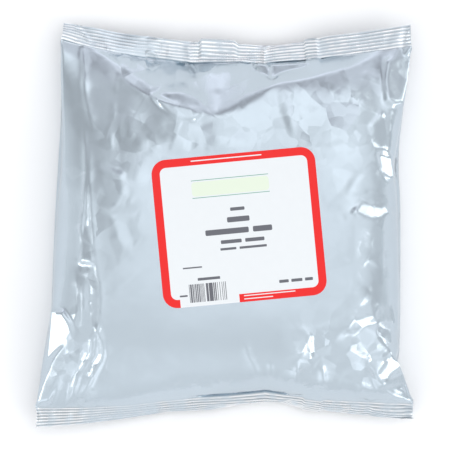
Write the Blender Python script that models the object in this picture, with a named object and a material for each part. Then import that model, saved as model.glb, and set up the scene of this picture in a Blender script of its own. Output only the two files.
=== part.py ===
"""A sealed pillow bag of metallised foil laminate, lying on its back, with its label and contents.

The bag is one web of film: folded to a tube, joined by a fin seal down the back, crimped
shut across both ends and filled with whole green cardamom pods. It lies on a table, front
up. X runs across the bag, Y towards its top seal and Z up. Units are metres.
"""

import math

import bmesh
import bpy
import numpy as np
from mathutils import Matrix, Vector
from mathutils.bvhtree import BVHTree

MM = 0.001

# The bag as cut, lying flat and empty
FLAT_WIDTH = 240 * MM
CUT_LENGTH = 256 * MM
END_SEAL = 13.5 * MM
FIN_ROOT = 50 * MM            # from the middle of the back
FIN_WIDTH = 10 * MM
FILM = 0.25 * MM
SLOT = 0.3 * MM               # between two layers that lie on each other
FILLED_VOLUME = 1680e-6       # cubic metres, pods and air
FULL_HEIGHT = 55 * MM         # above which the pods' weight adds no load
SHOULDER_HEIGHT = 45 * MM     # the front's height where it turns down to the top seal

# The filled bag seen from above, millimetres from its middle
TOP_EDGE = ((-101, 126), (-84, 123.5), (-65, 119.5), (-22, 114.5), (24, 112), (38, 112),
            (50, 114.5), (65, 118), (84, 120), (116, 125))
BOTTOM_EDGE = ((-118, -126), (-97, -124.7), (-65, -121), (-34, -116), (-9, -115), (3, -113),
               (15, -110), (25, -107.5), (34, -110), (46, -113.5), (71, -116.5), (96, -119.5),
               (118, -121))
LEFT_FOLD = ((-118, -126), (-116, -103), (-113.5, -84), (-110, -65), (-107, -52), (-106, -22),
             (-104, 10), (-102, 26), (-100.5, 52), (-101, 70), (-102, 90), (-102, 112),
             (-101, 126))
RIGHT_FOLD = ((118, -121), (118, -115), (115, -102), (109.5, -86), (105.5, -77.5), (107, -70),
              (108, -46), (107.5, -3), (106, 28), (103, 38), (104, 46.5), (107, 59),
              (111.5, 84), (115.5, 111), (116, 125))
# The top seal takes its slack up in tucks: place, film taken up, half width
TUCKS = ((-62.5, 5.0, 4.0), (-33, 5.0, 4.0), (16, 6.0, 5.0), (52, 4.0, 4.0))
TIGHTEST_TUCK = 0.12          # of the film's width left in a tuck
# The line along which the front folds down towards the top seal, and the fall beyond it
SHORTEST_FALL = 6 * MM
FALL_SLOPES = (0.2, 1.6)
SHOULDER = ((-104, 112), (-79, 108), (-43, 79), (-34, 84), (-19, 73), (-5, 67), (6, 74),
            (31, 86), (65, 93), (108, 106), (116, 108))

# How the film settles: what each step moves, in metres, and how firmly each hold pulls
PRESSING = 0.2 * MM
SINKING = 0.002 * MM
MOMENTUM = 0.9
LOAD_AT_TABLE = 1.5           # more than at the top, for the pods' weight
LOAD_AT_BOTTOM_SEAL = 0.3     # more than at the bag's middle
START_HEIGHTS = (25 * MM, 30 * MM, 22 * MM)   # of the seals, and the bulge up and down
START_UNEVENNESS = 0.2 * MM
ASLANT_HOLD = 0.8
BEND_HOLD = 0.1
SEAL_EDGE_HOLD = 0.2
SIDE_FOLD_HOLD = 0.05

LABEL_SIZE = (101.6 * MM, 92 * MM)
LABEL_PLACE = (8.7 * MM, -1.6 * MM)
LABEL_TURN = math.radians(5.4)
LABEL_CORNER = 9 * MM
LABEL_THICKNESS = 0.3 * MM
LABEL_FADE = 6 * MM           # over which the film under its edge loses its stiffness

POD_COUNT = 110
POD_LENGTH = (14 * MM, 19 * MM)
POD_RADIUS = (3.8 * MM, 4.6 * MM)
HEAP_SHARE = (0.915, 0.87, 0.71)   # the even heap under the outermost pods, of the bag's size
HEAP_ENDS = (28 * MM, 217 * MM)
POD_CLEARANCE = 1.7 * MM      # from the film, more than the fin takes up inside

# Columns across the lay-flat width, closer at the fin, and rows inside the end seals
COLUMNS = tuple(range(-120, 50, 10)) + (48, 50, 60, 62, 70, 80, 90, 100, 110, 120)
CAVITY_START = 2 * MM         # from the seal's inner edge to the first open row
CAVITY_ROWS = 24
SEAL_ROWS = 3


def clear_scene():
    for thing in list(bpy.data.objects):
        bpy.data.objects.remove(thing, do_unlink=True)


def along(points, fractions):
    """Places at the given fractions of a line's length, and that length."""
    line = np.array(points, float) * MM
    walked = np.r_[0, np.cumsum(np.linalg.norm(np.diff(line, axis=0), axis=1))]
    at = np.asarray(fractions) * walked[-1]
    return np.stack([np.interp(at, walked, line[:, k]) for k in (0, 1)], -1), walked[-1]


def rounded(line):
    """The same line with its corners eased, the more the closer its points are."""
    for _ in range(len(line) // 30):
        line[1:-1] = 0.25 * line[:-2] + 0.5 * line[1:-1] + 0.25 * line[2:]
    return line


class Film:
    """The tube of film as a net of points: rows run up the bag and columns go round it."""

    def __init__(self, across, rows):
        self.across, self.rows, self.round = across, rows, 2 * across
        self.cell_x, self.cell_y = FLAT_WIDTH / across, CUT_LENGTH / rows
        self.seal = round(END_SEAL / self.cell_y)
        column = np.arange(self.round)
        self.facing = -column % self.round
        self.column = np.where(column <= across, column, self.round - column)
        u, v = np.linspace(0, 1, across + 1), np.linspace(0, 1, rows + 1)
        tucked = self.tuck(u)
        self.top = rounded(along(TOP_EDGE, tucked)[0])
        self.bottom = rounded(along(BOTTOM_EDGE, u)[0])
        self.left = rounded(along(LEFT_FOLD, v)[0])
        self.right = rounded(along(RIGHT_FOLD, v)[0])
        self.u, self.v = u, v
        self.moved = 0.0

    def tuck(self, u):
        """Column places along the gathered top seal, as fractions, and the gathered cells."""
        place = (u - 0.5) * FLAT_WIDTH / MM
        kept = np.ones_like(place)
        for at, taken, half in TUCKS:
            pinch = np.exp(-((place - at) / half) ** 2)
            kept -= taken * pinch / (pinch.sum() * self.cell_x / MM)
        kept = np.clip(kept, TIGHTEST_TUCK, 1)
        cells = 0.5 * (kept[1:] + kept[:-1])
        sealed_length = along(TOP_EDGE, [0])[1]
        cells *= sealed_length / (cells.sum() * self.cell_x)
        self.width = np.full((self.rows + 1, self.round), self.cell_x)
        self.width[self.rows - self.seal:] *= np.r_[cells, cells[::-1]]
        walked = np.r_[0, np.cumsum(cells)]
        return walked / walked[-1]

    def spread_flat(self):
        """A first lens shape between the four edges, with seeded unevenness."""
        a, v = self.u[self.column][None, :, None], self.v[:, None, None]
        bottom, top = self.bottom[self.column], self.top[self.column]
        corners = ((1 - a) * (1 - v) * self.bottom[0] + a * (1 - v) * self.bottom[-1]
                   + (1 - a) * v * self.top[0] + a * v * self.top[-1])
        self.points = np.zeros((self.rows + 1, self.round, 3))
        self.points[..., :2] = ((1 - v) * bottom + v * top + (1 - a) * self.left[:, None]
                                + a * self.right[:, None] - corners)
        ends = self.seal / self.rows
        inside = np.clip((v[..., 0] - ends) / (1 - 2 * ends), 0, 1)
        bulge = (np.sin(np.pi * a[..., 0]) * np.sin(np.pi * inside)) ** 0.6
        seals, up, down = START_HEIGHTS
        swing = np.where(np.arange(self.round) <= self.across, up, -down)
        uneven = np.random.default_rng(3).normal(0, START_UNEVENNESS, bulge.shape)
        self.points[..., 2] = seals + swing * bulge + uneven

    def pull(self, a, b, length, share):
        """Moves two sets of points to their own distance apart, less firmly if too close.

        Film pushed together takes that up in folds finer than the net's cells.
        """
        apart = b - a
        now = np.sqrt((apart * apart).sum(-1))
        stretch = 1 - length / now
        firm = np.where(stretch < 0, self.fineness, 1)
        step = apart * (0.5 * share * stretch * firm)[..., None]
        a += step
        b -= step

    def keep_lengths(self):
        """The film hardly stretches along, across or aslant, and it resists sharp bends."""
        p, w, n, m = self.points, self.width, self.round, self.rows
        for first in (0, 1):
            here, there = np.arange(first, n, 2), np.arange(first + 1, n + first, 2) % n
            a, b = p[:, here], p[:, there]
            self.pull(a, b, w[:, here], 1.0)
            p[:, here], p[:, there] = a, b
        for first in (0, 1):
            last = first + 2 * ((m - first + 1) // 2)
            self.pull(p[first:last:2], p[first + 1:last:2], self.cell_y, 1.0)
            mean = 0.5 * (w[first:last:2] + w[first + 1:last:2])
            aslant = np.sqrt(mean ** 2 + self.cell_y ** 2)
            for turn in (-1, 1):
                b = np.roll(p[first + 1:last:2], turn, 1)
                self.pull(p[first:last:2], b, aslant, ASLANT_HOLD)
                p[first + 1:last:2] = np.roll(b, -turn, 1)
        for first in range(4):
            here = np.arange(first, n, 4)
            a, b = p[:, here], p[:, (here + 2) % n]
            self.pull(a, b, 2 * w[:, here], BEND_HOLD)
            p[:, here], p[:, (here + 2) % n] = a, b
            row = np.arange(first, m - 1, 4)
            a, b = p[row], p[row + 2]
            self.pull(a, b, 2 * self.cell_y, BEND_HOLD)
            p[row], p[row + 2] = a, b

    def outward(self):
        """Normals of the tube, as long as the stretch of film that each point stands for."""
        p = self.points
        across = np.roll(p, -1, 1) - np.roll(p, 1, 1)
        along_bag = np.empty_like(p)
        along_bag[1:-1] = p[2:] - p[:-2]
        along_bag[0], along_bag[-1] = 2 * (p[1] - p[0]), 2 * (p[-1] - p[-2])
        return np.cross(across, along_bag) / (4 * self.cell_x * self.cell_y)

    def volume(self):
        p = self.points
        a, b, c, d = p[:-1], np.roll(p[:-1], -1, 1), np.roll(p[1:], -1, 1), p[1:]
        return sum((q * np.cross(r, s)).sum() / 6 for q, r, s in ((a, b, c), (a, c, d)))

    def hold(self):
        """Seals stay shut, edges stay near their outlines and nothing sinks into the table."""
        p, n, m, seal = self.points, self.across, self.rows, self.seal
        for shut in (slice(0, seal + 1), slice(m - seal, m + 1)):
            p[shut] = 0.5 * (p[shut] + p[shut][:, self.facing])
        p[0, :, :2] += SEAL_EDGE_HOLD * (self.bottom[self.column] - p[0, :, :2])
        p[m, :, :2] += SEAL_EDGE_HOLD * (self.top[self.column] - p[m, :, :2])
        p[:, 0, 0] += SIDE_FOLD_HOLD * (self.left[:, 0] - p[:, 0, 0])
        p[:, n, 0] += SIDE_FOLD_HOLD * (self.right[:, 0] - p[:, n, 0])
        np.maximum(p[..., 2], 0, out=p[..., 2])
        self.fold_shoulder()

    def fold_shoulder(self):
        """Between the shoulder line and the top seal the front falls away to the seal."""
        line = np.array(SHOULDER, float) * MM
        front = self.points[self.rows // 2:self.rows - self.seal, 1:self.across]
        edge = self.points[self.rows - self.seal, 1:self.across]
        start = np.interp(front[..., 0], line[:, 0], line[:, 1])
        run = np.maximum(edge[:, 1] - start, SHORTEST_FALL)
        slope = np.clip((SHOULDER_HEIGHT - edge[:, 2]) / run, *FALL_SLOPES)
        over = front[..., 2] - (SHOULDER_HEIGHT - slope * (front[..., 1] - start))
        pressed = (front[..., 1] > start) & (over > 0)
        front[..., 2] -= np.where(pressed, 0.5 * over, 0)

    def place_label(self):
        """How far each point is under the label, from 0 to 1."""
        x, y = label_axes(self.points[..., 0], self.points[..., 1])
        inside = np.minimum(LABEL_SIZE[0] / 2 - np.abs(x), LABEL_SIZE[1] / 2 - np.abs(y))
        self.under_label = np.clip(0.5 + 0.5 * inside / LABEL_FADE, 0, 1)[..., None]
        self.under_label[:, self.across + 1:] = 0
        self.under_label[:, 0] = 0

    def stiffen_label(self):
        """Paper keeps an even curve."""
        p = self.points
        for _ in range(2):
            mean = 0.25 * (np.roll(p, 1, 1) + np.roll(p, -1, 1))
            mean[1:-1] += 0.25 * (p[2:] + p[:-2])
            p[1:-1, :, 2:] += (self.under_label * (mean - p)[..., 2:])[1:-1]

    def settle(self, steps, rounds, fineness):
        """Pods and air press the film out, more at the bottom, until the bag is full."""
        self.fineness = fineness
        self.place_label()
        for _ in range(steps):
            before = self.points.copy()
            room = (FILLED_VOLUME - round(self.volume(), 9)) / FILLED_VOLUME
            pressure = PRESSING * np.clip(20 * room, -1, 1)
            height, up_bag = self.points[..., 2:], self.points[..., 1:2]
            load = (1 + LOAD_AT_TABLE * (1 - height / FULL_HEIGHT)
                    - LOAD_AT_BOTTOM_SEAL * up_bag / (CUT_LENGTH / 2))
            self.points += MOMENTUM * self.moved + self.outward() * pressure * load
            self.points[..., 2] -= SINKING
            for _ in range(rounds):
                self.keep_lengths()
                self.hold()
            self.stiffen_label()
            self.moved = self.points - before

    def refined(self):
        """The same bag with twice as many rows and columns."""
        fine = Film(2 * self.across, 2 * self.rows)
        p = np.repeat(self.points, 2, 1)
        p[:, 1::2] = 0.5 * (self.points + np.roll(self.points, -1, 1))
        q = np.repeat(p, 2, 0)[:-1]
        q[1::2] = 0.5 * (p[:-1] + p[1:])
        q = 0.25 * np.roll(q, 1, 1) + 0.5 * q + 0.25 * np.roll(q, -1, 1)
        q[1:-1] = 0.25 * q[:-2] + 0.5 * q[1:-1] + 0.25 * q[2:]
        fine.points = q
        return fine

    def at(self, columns, rows):
        """The film at places given in metres across the flat bag and up it."""
        i = np.asarray(columns) / self.cell_x % self.round
        j = np.clip(np.asarray(rows) / self.cell_y, 0, self.rows - 1e-9)
        i0, j0 = np.floor(i).astype(int), np.floor(j).astype(int)
        fi, fj = (i - i0)[..., None], (j - j0)[..., None]
        p, i1 = self.points, (i0 + 1) % self.round
        low = p[j0, i0] * (1 - fi) + p[j0, i1] * fi
        high = p[j0 + 1, i0] * (1 - fi) + p[j0 + 1, i1] * fi
        return low * (1 - fj) + high * fj


def label_axes(x, y):
    """Places on the table as places along the label's own width and height."""
    x, y = x - LABEL_PLACE[0], y - LABEL_PLACE[1]
    c, s = math.cos(LABEL_TURN), math.sin(LABEL_TURN)
    return x * c + y * s, y * c - x * s


def filled_bag():
    """The settled film, with its box centred over the origin."""
    film = Film(36, 38)
    film.spread_flat()
    film.settle(500, 4, fineness=0.1)
    film = film.refined()
    film.settle(250, 5, fineness=0.3)
    low, high = film.points.min((0, 1)), film.points.max((0, 1))
    film.points[..., :2] -= 0.5 * (low + high)[:2]
    return film


def unit(vectors):
    return vectors / np.linalg.norm(vectors, axis=-1, keepdims=True)


def sheet_normals(front, back, sealed):
    """Outward normals of the front's and the back's columns, row by row."""
    n = front.shape[1]
    ring = np.concatenate([front, back[:, n - 2:0:-1]], 1)
    across = np.roll(ring, -1, 1) - np.roll(ring, 1, 1)
    up = np.gradient(ring, axis=0)
    normals = np.cross(across, up)
    flat = np.gradient(front[sealed], axis=1)
    normals[sealed, :n] = np.cross(flat, up[sealed, :n])
    normals[sealed, 0], normals[sealed, n - 1] = -flat[:, 0], flat[:, -1]
    behind = -np.arange(n) % ring.shape[1]
    normals[np.ix_(sealed, behind[1:-1])] = -normals[np.ix_(sealed, range(1, n - 1))]
    normals = unit(normals)
    return normals[:, :n], normals[:, behind]


def new_object(name, points, faces, material):
    mesh = bpy.data.meshes.new(name)
    mesh.from_pydata([tuple(p) for p in points], [], faces)
    mesh.validate()
    mesh.materials.append(material)
    thing = bpy.data.objects.new(name, mesh)
    bpy.context.scene.collection.objects.link(thing)
    return thing


def plain_material(name, colour, roughness, metallic):
    material = bpy.data.materials.new(name)
    material.use_nodes = True
    shader = material.node_tree.nodes["Principled BSDF"]
    shader.inputs["Base Color"].default_value = (*colour, 1)
    shader.inputs["Roughness"].default_value = roughness
    shader.inputs["Metallic"].default_value = metallic
    material.diffuse_color = (*colour, 1)
    return material


def film_rows():
    """Places of the rows up the bag, and which of them lie in the end seals."""
    seal = np.linspace(0, END_SEAL, SEAL_ROWS)
    cavity = np.linspace(END_SEAL + CAVITY_START, CUT_LENGTH - END_SEAL - CAVITY_START,
                         CAVITY_ROWS)
    rows = np.r_[seal, cavity, CUT_LENGTH - seal[::-1]]
    sealed = np.r_[0:SEAL_ROWS, len(rows) - SEAL_ROWS:len(rows)]
    return rows, sealed


class FilmBody:
    """The film as one closed solid: outer skin, inner skin and the fin seal on the back.

    The inner skin runs out between the two layers of the fin, which the real bag has
    pressed together. Everywhere else the solid has the film's own thickness.
    """

    def __init__(self, film):
        columns = np.array(COLUMNS) * MM + FLAT_WIDTH / 2
        self.rows, self.sealed = film_rows()
        self.first, self.last = SEAL_ROWS, len(self.rows) - SEAL_ROWS - 1
        self.root = COLUMNS.index(round(FIN_ROOT / MM))
        self.tip = COLUMNS.index(round((FIN_ROOT + FIN_WIDTH) / MM))
        c, r = np.meshgrid(columns, self.rows)
        self.front, self.back = film.at(c, r), film.at(2 * FLAT_WIDTH - c, r)
        self.open_mouths()
        normals = sheet_normals(self.front, self.back, self.sealed)
        self.front_normals, self.back_normals = normals
        self.layers()

    def open_mouths(self):
        """The first open row next to each end seal stands a little apart."""
        for row in (self.first, self.last):
            apart = self.front[row, 1:-1, 2] - self.back[row, 1:-1, 2]
            short = np.maximum(2 * SLOT - apart, 0) / 2
            self.front[row, 1:-1, 2] += short
            self.back[row, 1:-1, 2] -= short

    def layers(self):
        """Outer and inner points in order round the bag, and the names of the fin's ones."""
        n, r, t = len(COLUMNS), self.root, self.tip
        nf, nb = self.front_normals, self.back_normals
        stack = 2 * SLOT + 2 * FILM
        lift = np.zeros(self.front.shape[:2])
        lift[self.sealed, r:t + 1] = stack
        lift[[self.first, self.last], r:t + 1] = stack
        lift[[self.first + 1, self.last - 1], r:t + 1] = stack / 2
        front = self.front + nf * lift[..., None]
        outer = [front[:, i] + nf[:, i] * FILM for i in range(n)]
        inner = [front[:, i] for i in range(n)]
        self.front_of = {i: i for i in range(n)}
        self.back_of = {0: 0, n - 1: n - 1}
        falling = [False] * (n - 1)

        def add(out, into, down=True):
            outer.append(out)
            inner.append(into)
            falling.append(down)
            return len(outer) - 1

        turn = unit(self.back[:, t] - self.back[:, r]) * FILM
        for i in range(n - 2, t, -1):
            self.back_of[i] = add(self.back[:, i] + nb[:, i] * FILM, self.back[:, i])
        raised = {i: self.back[:, i] - nb[:, i] * stack for i in (r, t)}
        upper = {i: self.back[:, i] - nb[:, i] * SLOT for i in (r, t)}
        self.panel_tip = add(raised[t] + nb[:, t] * FILM, raised[t])
        self.panel_root = add(raised[r] + nb[:, r] * FILM + turn, raised[r])
        self.upper_root = add(upper[r] - nb[:, r] * FILM + turn, upper[r])
        self.upper_tip = add(upper[t] - nb[:, t] * FILM, upper[t], False)
        self.lower_tip = add(self.back[:, t] + nb[:, t] * FILM, self.back[:, t])
        self.lower_root = add(self.back[:, r] + nb[:, r] * FILM, self.back[:, r])
        for i in range(r - 1, 0, -1):
            self.back_of[i] = add(self.back[:, i] + nb[:, i] * FILM, self.back[:, i])
        falling.append(True)
        self.outer, self.inner = np.stack(outer, 1), np.stack(inner, 1)
        self.falling = falling

    def cap_cells(self):
        """Faces across a cross-section, each seen with the front up and X to the right."""
        n, r, t = len(COLUMNS), self.root, self.tip
        top, under = self.front_of, dict(self.back_of)
        pr, ur, lr = self.panel_root, self.upper_root, self.lower_root
        cells = [(self.upper_root, self.upper_tip, self.lower_tip, self.lower_root),
                 (top[r - 1], top[r], pr), (top[r - 1], pr, under[r - 1]),
                 (under[r - 1], pr, ur), (under[r - 1], ur, lr)]
        under[r], under[t] = self.panel_root, self.panel_tip
        for i in range(n - 1):
            if i == r - 1:
                continue
            corners = (top[i], top[i + 1], under[i + 1], under[i])
            cells.append(tuple(dict.fromkeys(corners)))
        return cells

    def skin_faces(self, row, outward, number):
        """Two triangles for each cell between a row and the next, split alike in all layers."""
        count = self.outer.shape[1]
        for i in range(count):
            if i == self.upper_tip and not (outward and self.shut(row)):
                continue
            j = (i + 1) % count
            a, b, c, d = number[row, i], number[row, j], number[row + 1, j], number[row + 1, i]
            pair = ((a, b, d), (b, c, d)) if self.falling[i] else ((a, b, c), (a, c, d))
            for face in pair:
                self.faces.append(face if outward else face[::-1])

    def shut(self, row):
        return row + 1 < self.first or row > self.last

    def mouth_faces(self, out, into):
        """The film's edges along the slot, and the ends where the slot is sealed."""
        u, w = self.upper_tip, self.lower_tip
        for row in range(self.first, self.last):
            self.faces.append((out[row, u], into[row, u], into[row + 1, u], out[row + 1, u]))
            self.faces.append((into[row, w], out[row, w], out[row + 1, w], into[row + 1, w]))
        for shut, start, flip in ((self.first - 1, self.first, 1), (self.last + 1, self.last, -1)):
            corner = out[shut, w]
            rim = (out[start, w], into[start, w], into[start, u], out[start, u], out[shut, u])
            for k in range(4):
                self.faces.append((corner, rim[k], rim[k + 1])[::flip])

    def build(self, material):
        count, rows = self.outer.shape[1], len(self.rows)
        out = np.arange(rows * count).reshape(rows, count)
        into = out + rows * count
        self.faces = []
        for row in range(rows - 1):
            self.skin_faces(row, True, out)
        for row in range(self.first, self.last):
            self.skin_faces(row, False, into)
        for cell in self.cap_cells():
            self.faces.append(tuple(out[0, list(cell[::-1])]))
            self.faces.append(tuple(out[rows - 1, list(cell)]))
            self.faces.append(tuple(into[self.first, list(cell)]))
            self.faces.append(tuple(into[self.last, list(cell[::-1])]))
        self.mouth_faces(out, into)
        points = np.concatenate([self.outer.reshape(-1, 3), self.inner.reshape(-1, 3)])
        points[:, 2] += FILM
        used, index = np.unique(np.concatenate([np.array(f) for f in self.faces]),
                                return_inverse=True)
        sizes = np.cumsum([len(f) for f in self.faces])[:-1]
        faces = [part.tolist() for part in np.split(index, sizes)]
        return new_object("foil_bag", points[used], faces, material)


def tree_of(points, faces):
    """A search tree over a mesh's faces."""
    return BVHTree.FromPolygons([Vector(p) for p in points], [tuple(f) for f in faces])


def inside_tree(film):
    """A search tree over the film's inner side, as the tube of film was settled."""
    n, m = film.round, film.rows
    quads = [(j * n + i, j * n + (i + 1) % n, (j + 1) * n + (i + 1) % n, (j + 1) * n + i)
             for j in range(m) for i in range(n)]
    return tree_of(film.points.reshape(-1, 3), quads)


def label_outline(points_each_corner):
    """The label's edge, a rectangle with round corners, in its own axes."""
    outline = []
    for corner in range(4):
        side_x, side_y = (1, -1, -1, 1)[corner], (1, 1, -1, -1)[corner]
        middle = Vector((side_x * (LABEL_SIZE[0] / 2 - LABEL_CORNER),
                         side_y * (LABEL_SIZE[1] / 2 - LABEL_CORNER)))
        for k in range(points_each_corner):
            angle = math.radians(90 * (corner + k / (points_each_corner - 1)))
            outline.append(middle + LABEL_CORNER * Vector((math.cos(angle), math.sin(angle))))
        span = (LABEL_SIZE[0] if corner in (0, 2) else LABEL_SIZE[1]) - 2 * LABEL_CORNER
        step = Vector(((-1, 0), (0, -1), (1, 0), (0, 1))[corner]) * span / 9
        outline += [outline[-1] + step * k for k in range(1, 9)]
    return outline


def label(film_object, material):
    """The paper label, one slot above the film so that it stays a piece of its own."""
    mesh = film_object.data
    tree = tree_of([v.co for v in mesh.vertices], [p.vertices for p in mesh.polygons])
    outline = label_outline(5)
    rings = [[p * share for p in outline] for share in (1, 0.86, 0.7, 0.52, 0.32)]
    plan = [p for ring in rings for p in ring] + [Vector((0, 0))]
    turn = Matrix.Rotation(LABEL_TURN, 2)
    bottom, top = [], []
    for p in plan:
        x, y = turn @ p + Vector(LABEL_PLACE)
        place, normal, _, _ = tree.ray_cast(Vector((x, y, 1)), Vector((0, 0, -1)))
        bottom.append(place + Vector((0, 0, SLOT)))
        top.append(place + Vector((0, 0, SLOT + LABEL_THICKNESS)))
    n, middle = len(outline), len(plan) - 1
    faces = []
    for ring in range(len(rings)):
        for k in range(n):
            a, b = ring * n + k, ring * n + (k + 1) % n
            c, d = (b + n, a + n) if ring < len(rings) - 1 else (middle, middle)
            for face in ((a, b, c), (a, c, d)):
                if len(set(face)) == 3:
                    faces.append(face)
                    faces.append(tuple(len(plan) + v for v in face[::-1]))
    faces = [face[::-1] for face in faces]
    for k in range(n):
        a, b = k, (k + 1) % n
        faces.append((a, b, b + len(plan), a + len(plan)))
    return new_object("label", bottom + top, faces, material)


def pod_mesh(length, radius):
    """A cardamom pod: a blunt three-sided spindle, rounder at its stalk end."""
    mesh = bmesh.new()
    stations = ((0.16, 0.72), (0.45, 1.0), (0.78, 0.66))
    rings = []
    for place, share in stations:
        ring = []
        for k in range(6):
            angle = math.pi * k / 3
            reach = radius * share * (1.06 if k % 2 == 0 else 0.90)
            ring.append(mesh.verts.new((length * (place - 0.5), reach * math.cos(angle),
                                        reach * math.sin(angle))))
        rings.append(ring)
    stalk = mesh.verts.new((-0.5 * length, 0, 0))
    beak = mesh.verts.new((0.5 * length, 0, 0))
    for k in range(6):
        j = (k + 1) % 6
        mesh.faces.new((stalk, rings[0][j], rings[0][k]))
        mesh.faces.new((beak, rings[-1][k], rings[-1][j]))
        for low, high in zip(rings, rings[1:]):
            mesh.faces.new((low[k], low[j], high[j], high[k]))
    bmesh.ops.triangulate(mesh, faces=mesh.faces)
    bmesh.ops.recalc_face_normals(mesh, faces=mesh.faces)
    data = bpy.data.meshes.new("pod")
    mesh.to_mesh(data)
    mesh.free()
    return data


def reach_outward(walls, points):
    """How far the furthest of some points stands out of the film, less than 0 inside it."""
    furthest = -1.0
    for point in points:
        place, normal, _, _ = walls.find_nearest(point)
        furthest = max(furthest, (point - place).dot(normal))
    return furthest


class Heap:
    """The even lump under the outermost pods: the film's shape drawn in towards its middle."""

    def __init__(self, film):
        self.film = film
        self.walls = inside_tree(film)
        low, high = film.points.min((0, 1)), film.points.max((0, 1))
        self.middle = 0.5 * (low + high)

    def at(self, columns, rows):
        return self.middle + (self.film.at(columns, rows) - self.middle) * np.array(HEAP_SHARE)

    def outward(self, column, row, step=6 * MM):
        across = self.at(column + step, row) - self.at(column - step, row)
        up = self.at(column, row + step) - self.at(column, row - step)
        return unit(np.cross(across, up)), unit(up)

    def build(self, material):
        columns = np.arange(32) * 2 * FLAT_WIDTH / 32
        rows = np.linspace(*HEAP_ENDS, 14)
        points = self.at(*np.meshgrid(columns, rows))
        for place in points.reshape(-1, 3):
            short = reach_outward(self.walls, [Vector(place)]) + POD_CLEARANCE
            place[2] += math.copysign(max(short, 0), self.middle[2] - place[2])
        n, m = len(columns), len(rows)
        faces = []
        for j in range(m - 1):
            for i in range(n):
                a, b = j * n + i, j * n + (i + 1) % n
                faces += [(a, b, b + n), (a, b + n, a + n)]
        for i in range(n):
            j = (i + 1) % n
            faces.append((n * m, j, i))
            faces.append((n * m + 1, (m - 1) * n + i, (m - 1) * n + j))
        ends = [points[0].mean(0), points[-1].mean(0)]
        return new_object("cardamom_pods", list(points.reshape(-1, 3)) + ends, faces, material)


def pod_places(heap):
    """Seeded places on the heap, each the one of a few tries that is furthest from the rest."""
    rng = np.random.default_rng(11)
    chosen = []
    while len(chosen) < POD_COUNT:
        tries = []
        for _ in range(30):
            column, row = rng.uniform(0, 2 * FLAT_WIDTH), rng.uniform(*HEAP_ENDS)
            place = heap.at(column, row)
            room = min((np.linalg.norm(place - p) for p, _, _ in chosen), default=1)
            tries.append((room, column, row))
        _, column, row = max(tries)
        chosen.append((heap.at(column, row), *heap.outward(column, row)))
    return chosen, rng


def pods(film, material):
    """The heap of whole pods that fills the bag, joined to one body."""
    heap = Heap(film)
    lump = heap.build(material)
    group = bpy.data.collections.new("loose_pods")
    places, rng = pod_places(heap)
    for place, outward, up in places:
        data = pod_mesh(rng.uniform(*POD_LENGTH), rng.uniform(*POD_RADIUS))
        inward, up = -Vector(outward), Vector(up)
        side = up.cross(inward).normalized()
        turn = Matrix((side, inward.cross(side), inward)).transposed()
        turn = turn @ Matrix.Rotation(rng.uniform(0, 2 * math.pi), 3, "Z")
        turn = turn @ Matrix.Rotation(rng.uniform(0, 2 * math.pi), 3, "X")
        data.transform(turn.to_4x4())
        data.transform(Matrix.Translation(Vector(place)))
        for _ in range(4):
            short = reach_outward(heap.walls, [v.co for v in data.vertices]) + POD_CLEARANCE
            data.transform(Matrix.Translation(inward * max(short, 0)))
        group.objects.link(bpy.data.objects.new("pod", data))
    join(lump, group)
    return lump


def join(thing, group):
    """Fuses a collection's closed shapes into an object and removes them."""
    union = thing.modifiers.new("union", "BOOLEAN")
    union.operation = "UNION"
    union.operand_type = "COLLECTION"
    union.collection = group
    bpy.context.view_layer.update()
    fused = bpy.data.meshes.new_from_object(
        thing.evaluated_get(bpy.context.evaluated_depsgraph_get()))
    thing.modifiers.remove(union)
    thing.data = fused
    for piece in list(group.objects):
        bpy.data.objects.remove(piece, do_unlink=True)
    bpy.data.collections.remove(group)


def main():
    clear_scene()
    foil = plain_material("metallised_film", (0.62, 0.67, 0.71), 0.28, 1.0)
    paper = plain_material("label_paper", (0.90, 0.91, 0.93), 0.6, 0.0)
    husk = plain_material("dried_pod_husk", (0.38, 0.43, 0.20), 0.8, 0.0)
    film = filled_bag()
    bag = FilmBody(film).build(foil)
    label(bag, paper)
    pods(film, husk)


main()
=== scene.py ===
"""The looks of a filled foil pillow bag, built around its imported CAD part.

The film is settled by the rule that shaped the part, on a finer net, and then gets its fin,
its creases and its crimped seals. The label lies on it and the pods fill it. The file is
laid out as an add-on. X runs across the bag, Y towards its top seal and Z up, in metres.
"""

import functools
import math
from typing import NamedTuple

import bpy
import numpy as np
from bpy.props import FloatProperty, FloatVectorProperty, IntProperty, PointerProperty
from mathutils import Matrix, Vector
from mathutils.bvhtree import BVHTree
from mathutils.geometry import delaunay_2d_cdt


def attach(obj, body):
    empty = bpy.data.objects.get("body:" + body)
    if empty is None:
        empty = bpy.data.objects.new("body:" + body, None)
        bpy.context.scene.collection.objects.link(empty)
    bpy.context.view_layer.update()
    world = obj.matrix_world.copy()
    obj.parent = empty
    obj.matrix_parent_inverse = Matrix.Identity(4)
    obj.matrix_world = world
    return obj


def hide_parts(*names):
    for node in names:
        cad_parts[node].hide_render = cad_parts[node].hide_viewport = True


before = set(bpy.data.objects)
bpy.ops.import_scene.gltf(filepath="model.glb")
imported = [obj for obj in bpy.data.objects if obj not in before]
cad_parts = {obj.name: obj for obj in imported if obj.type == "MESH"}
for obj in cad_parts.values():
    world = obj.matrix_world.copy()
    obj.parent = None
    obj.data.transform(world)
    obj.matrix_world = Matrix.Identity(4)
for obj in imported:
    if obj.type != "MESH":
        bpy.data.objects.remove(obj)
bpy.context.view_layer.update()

bl_info = {
    "name": "Filled Foil Pillow Bag",
    "version": (1, 0, 0),
    "blender": (4, 5, 0),
    "location": "View3D > Sidebar > Foil Bag",
    "description": "Builds a crimped pillow bag of metallised film, its label and its pods",
    "category": "Add Mesh",
}

MM = 0.001

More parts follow.
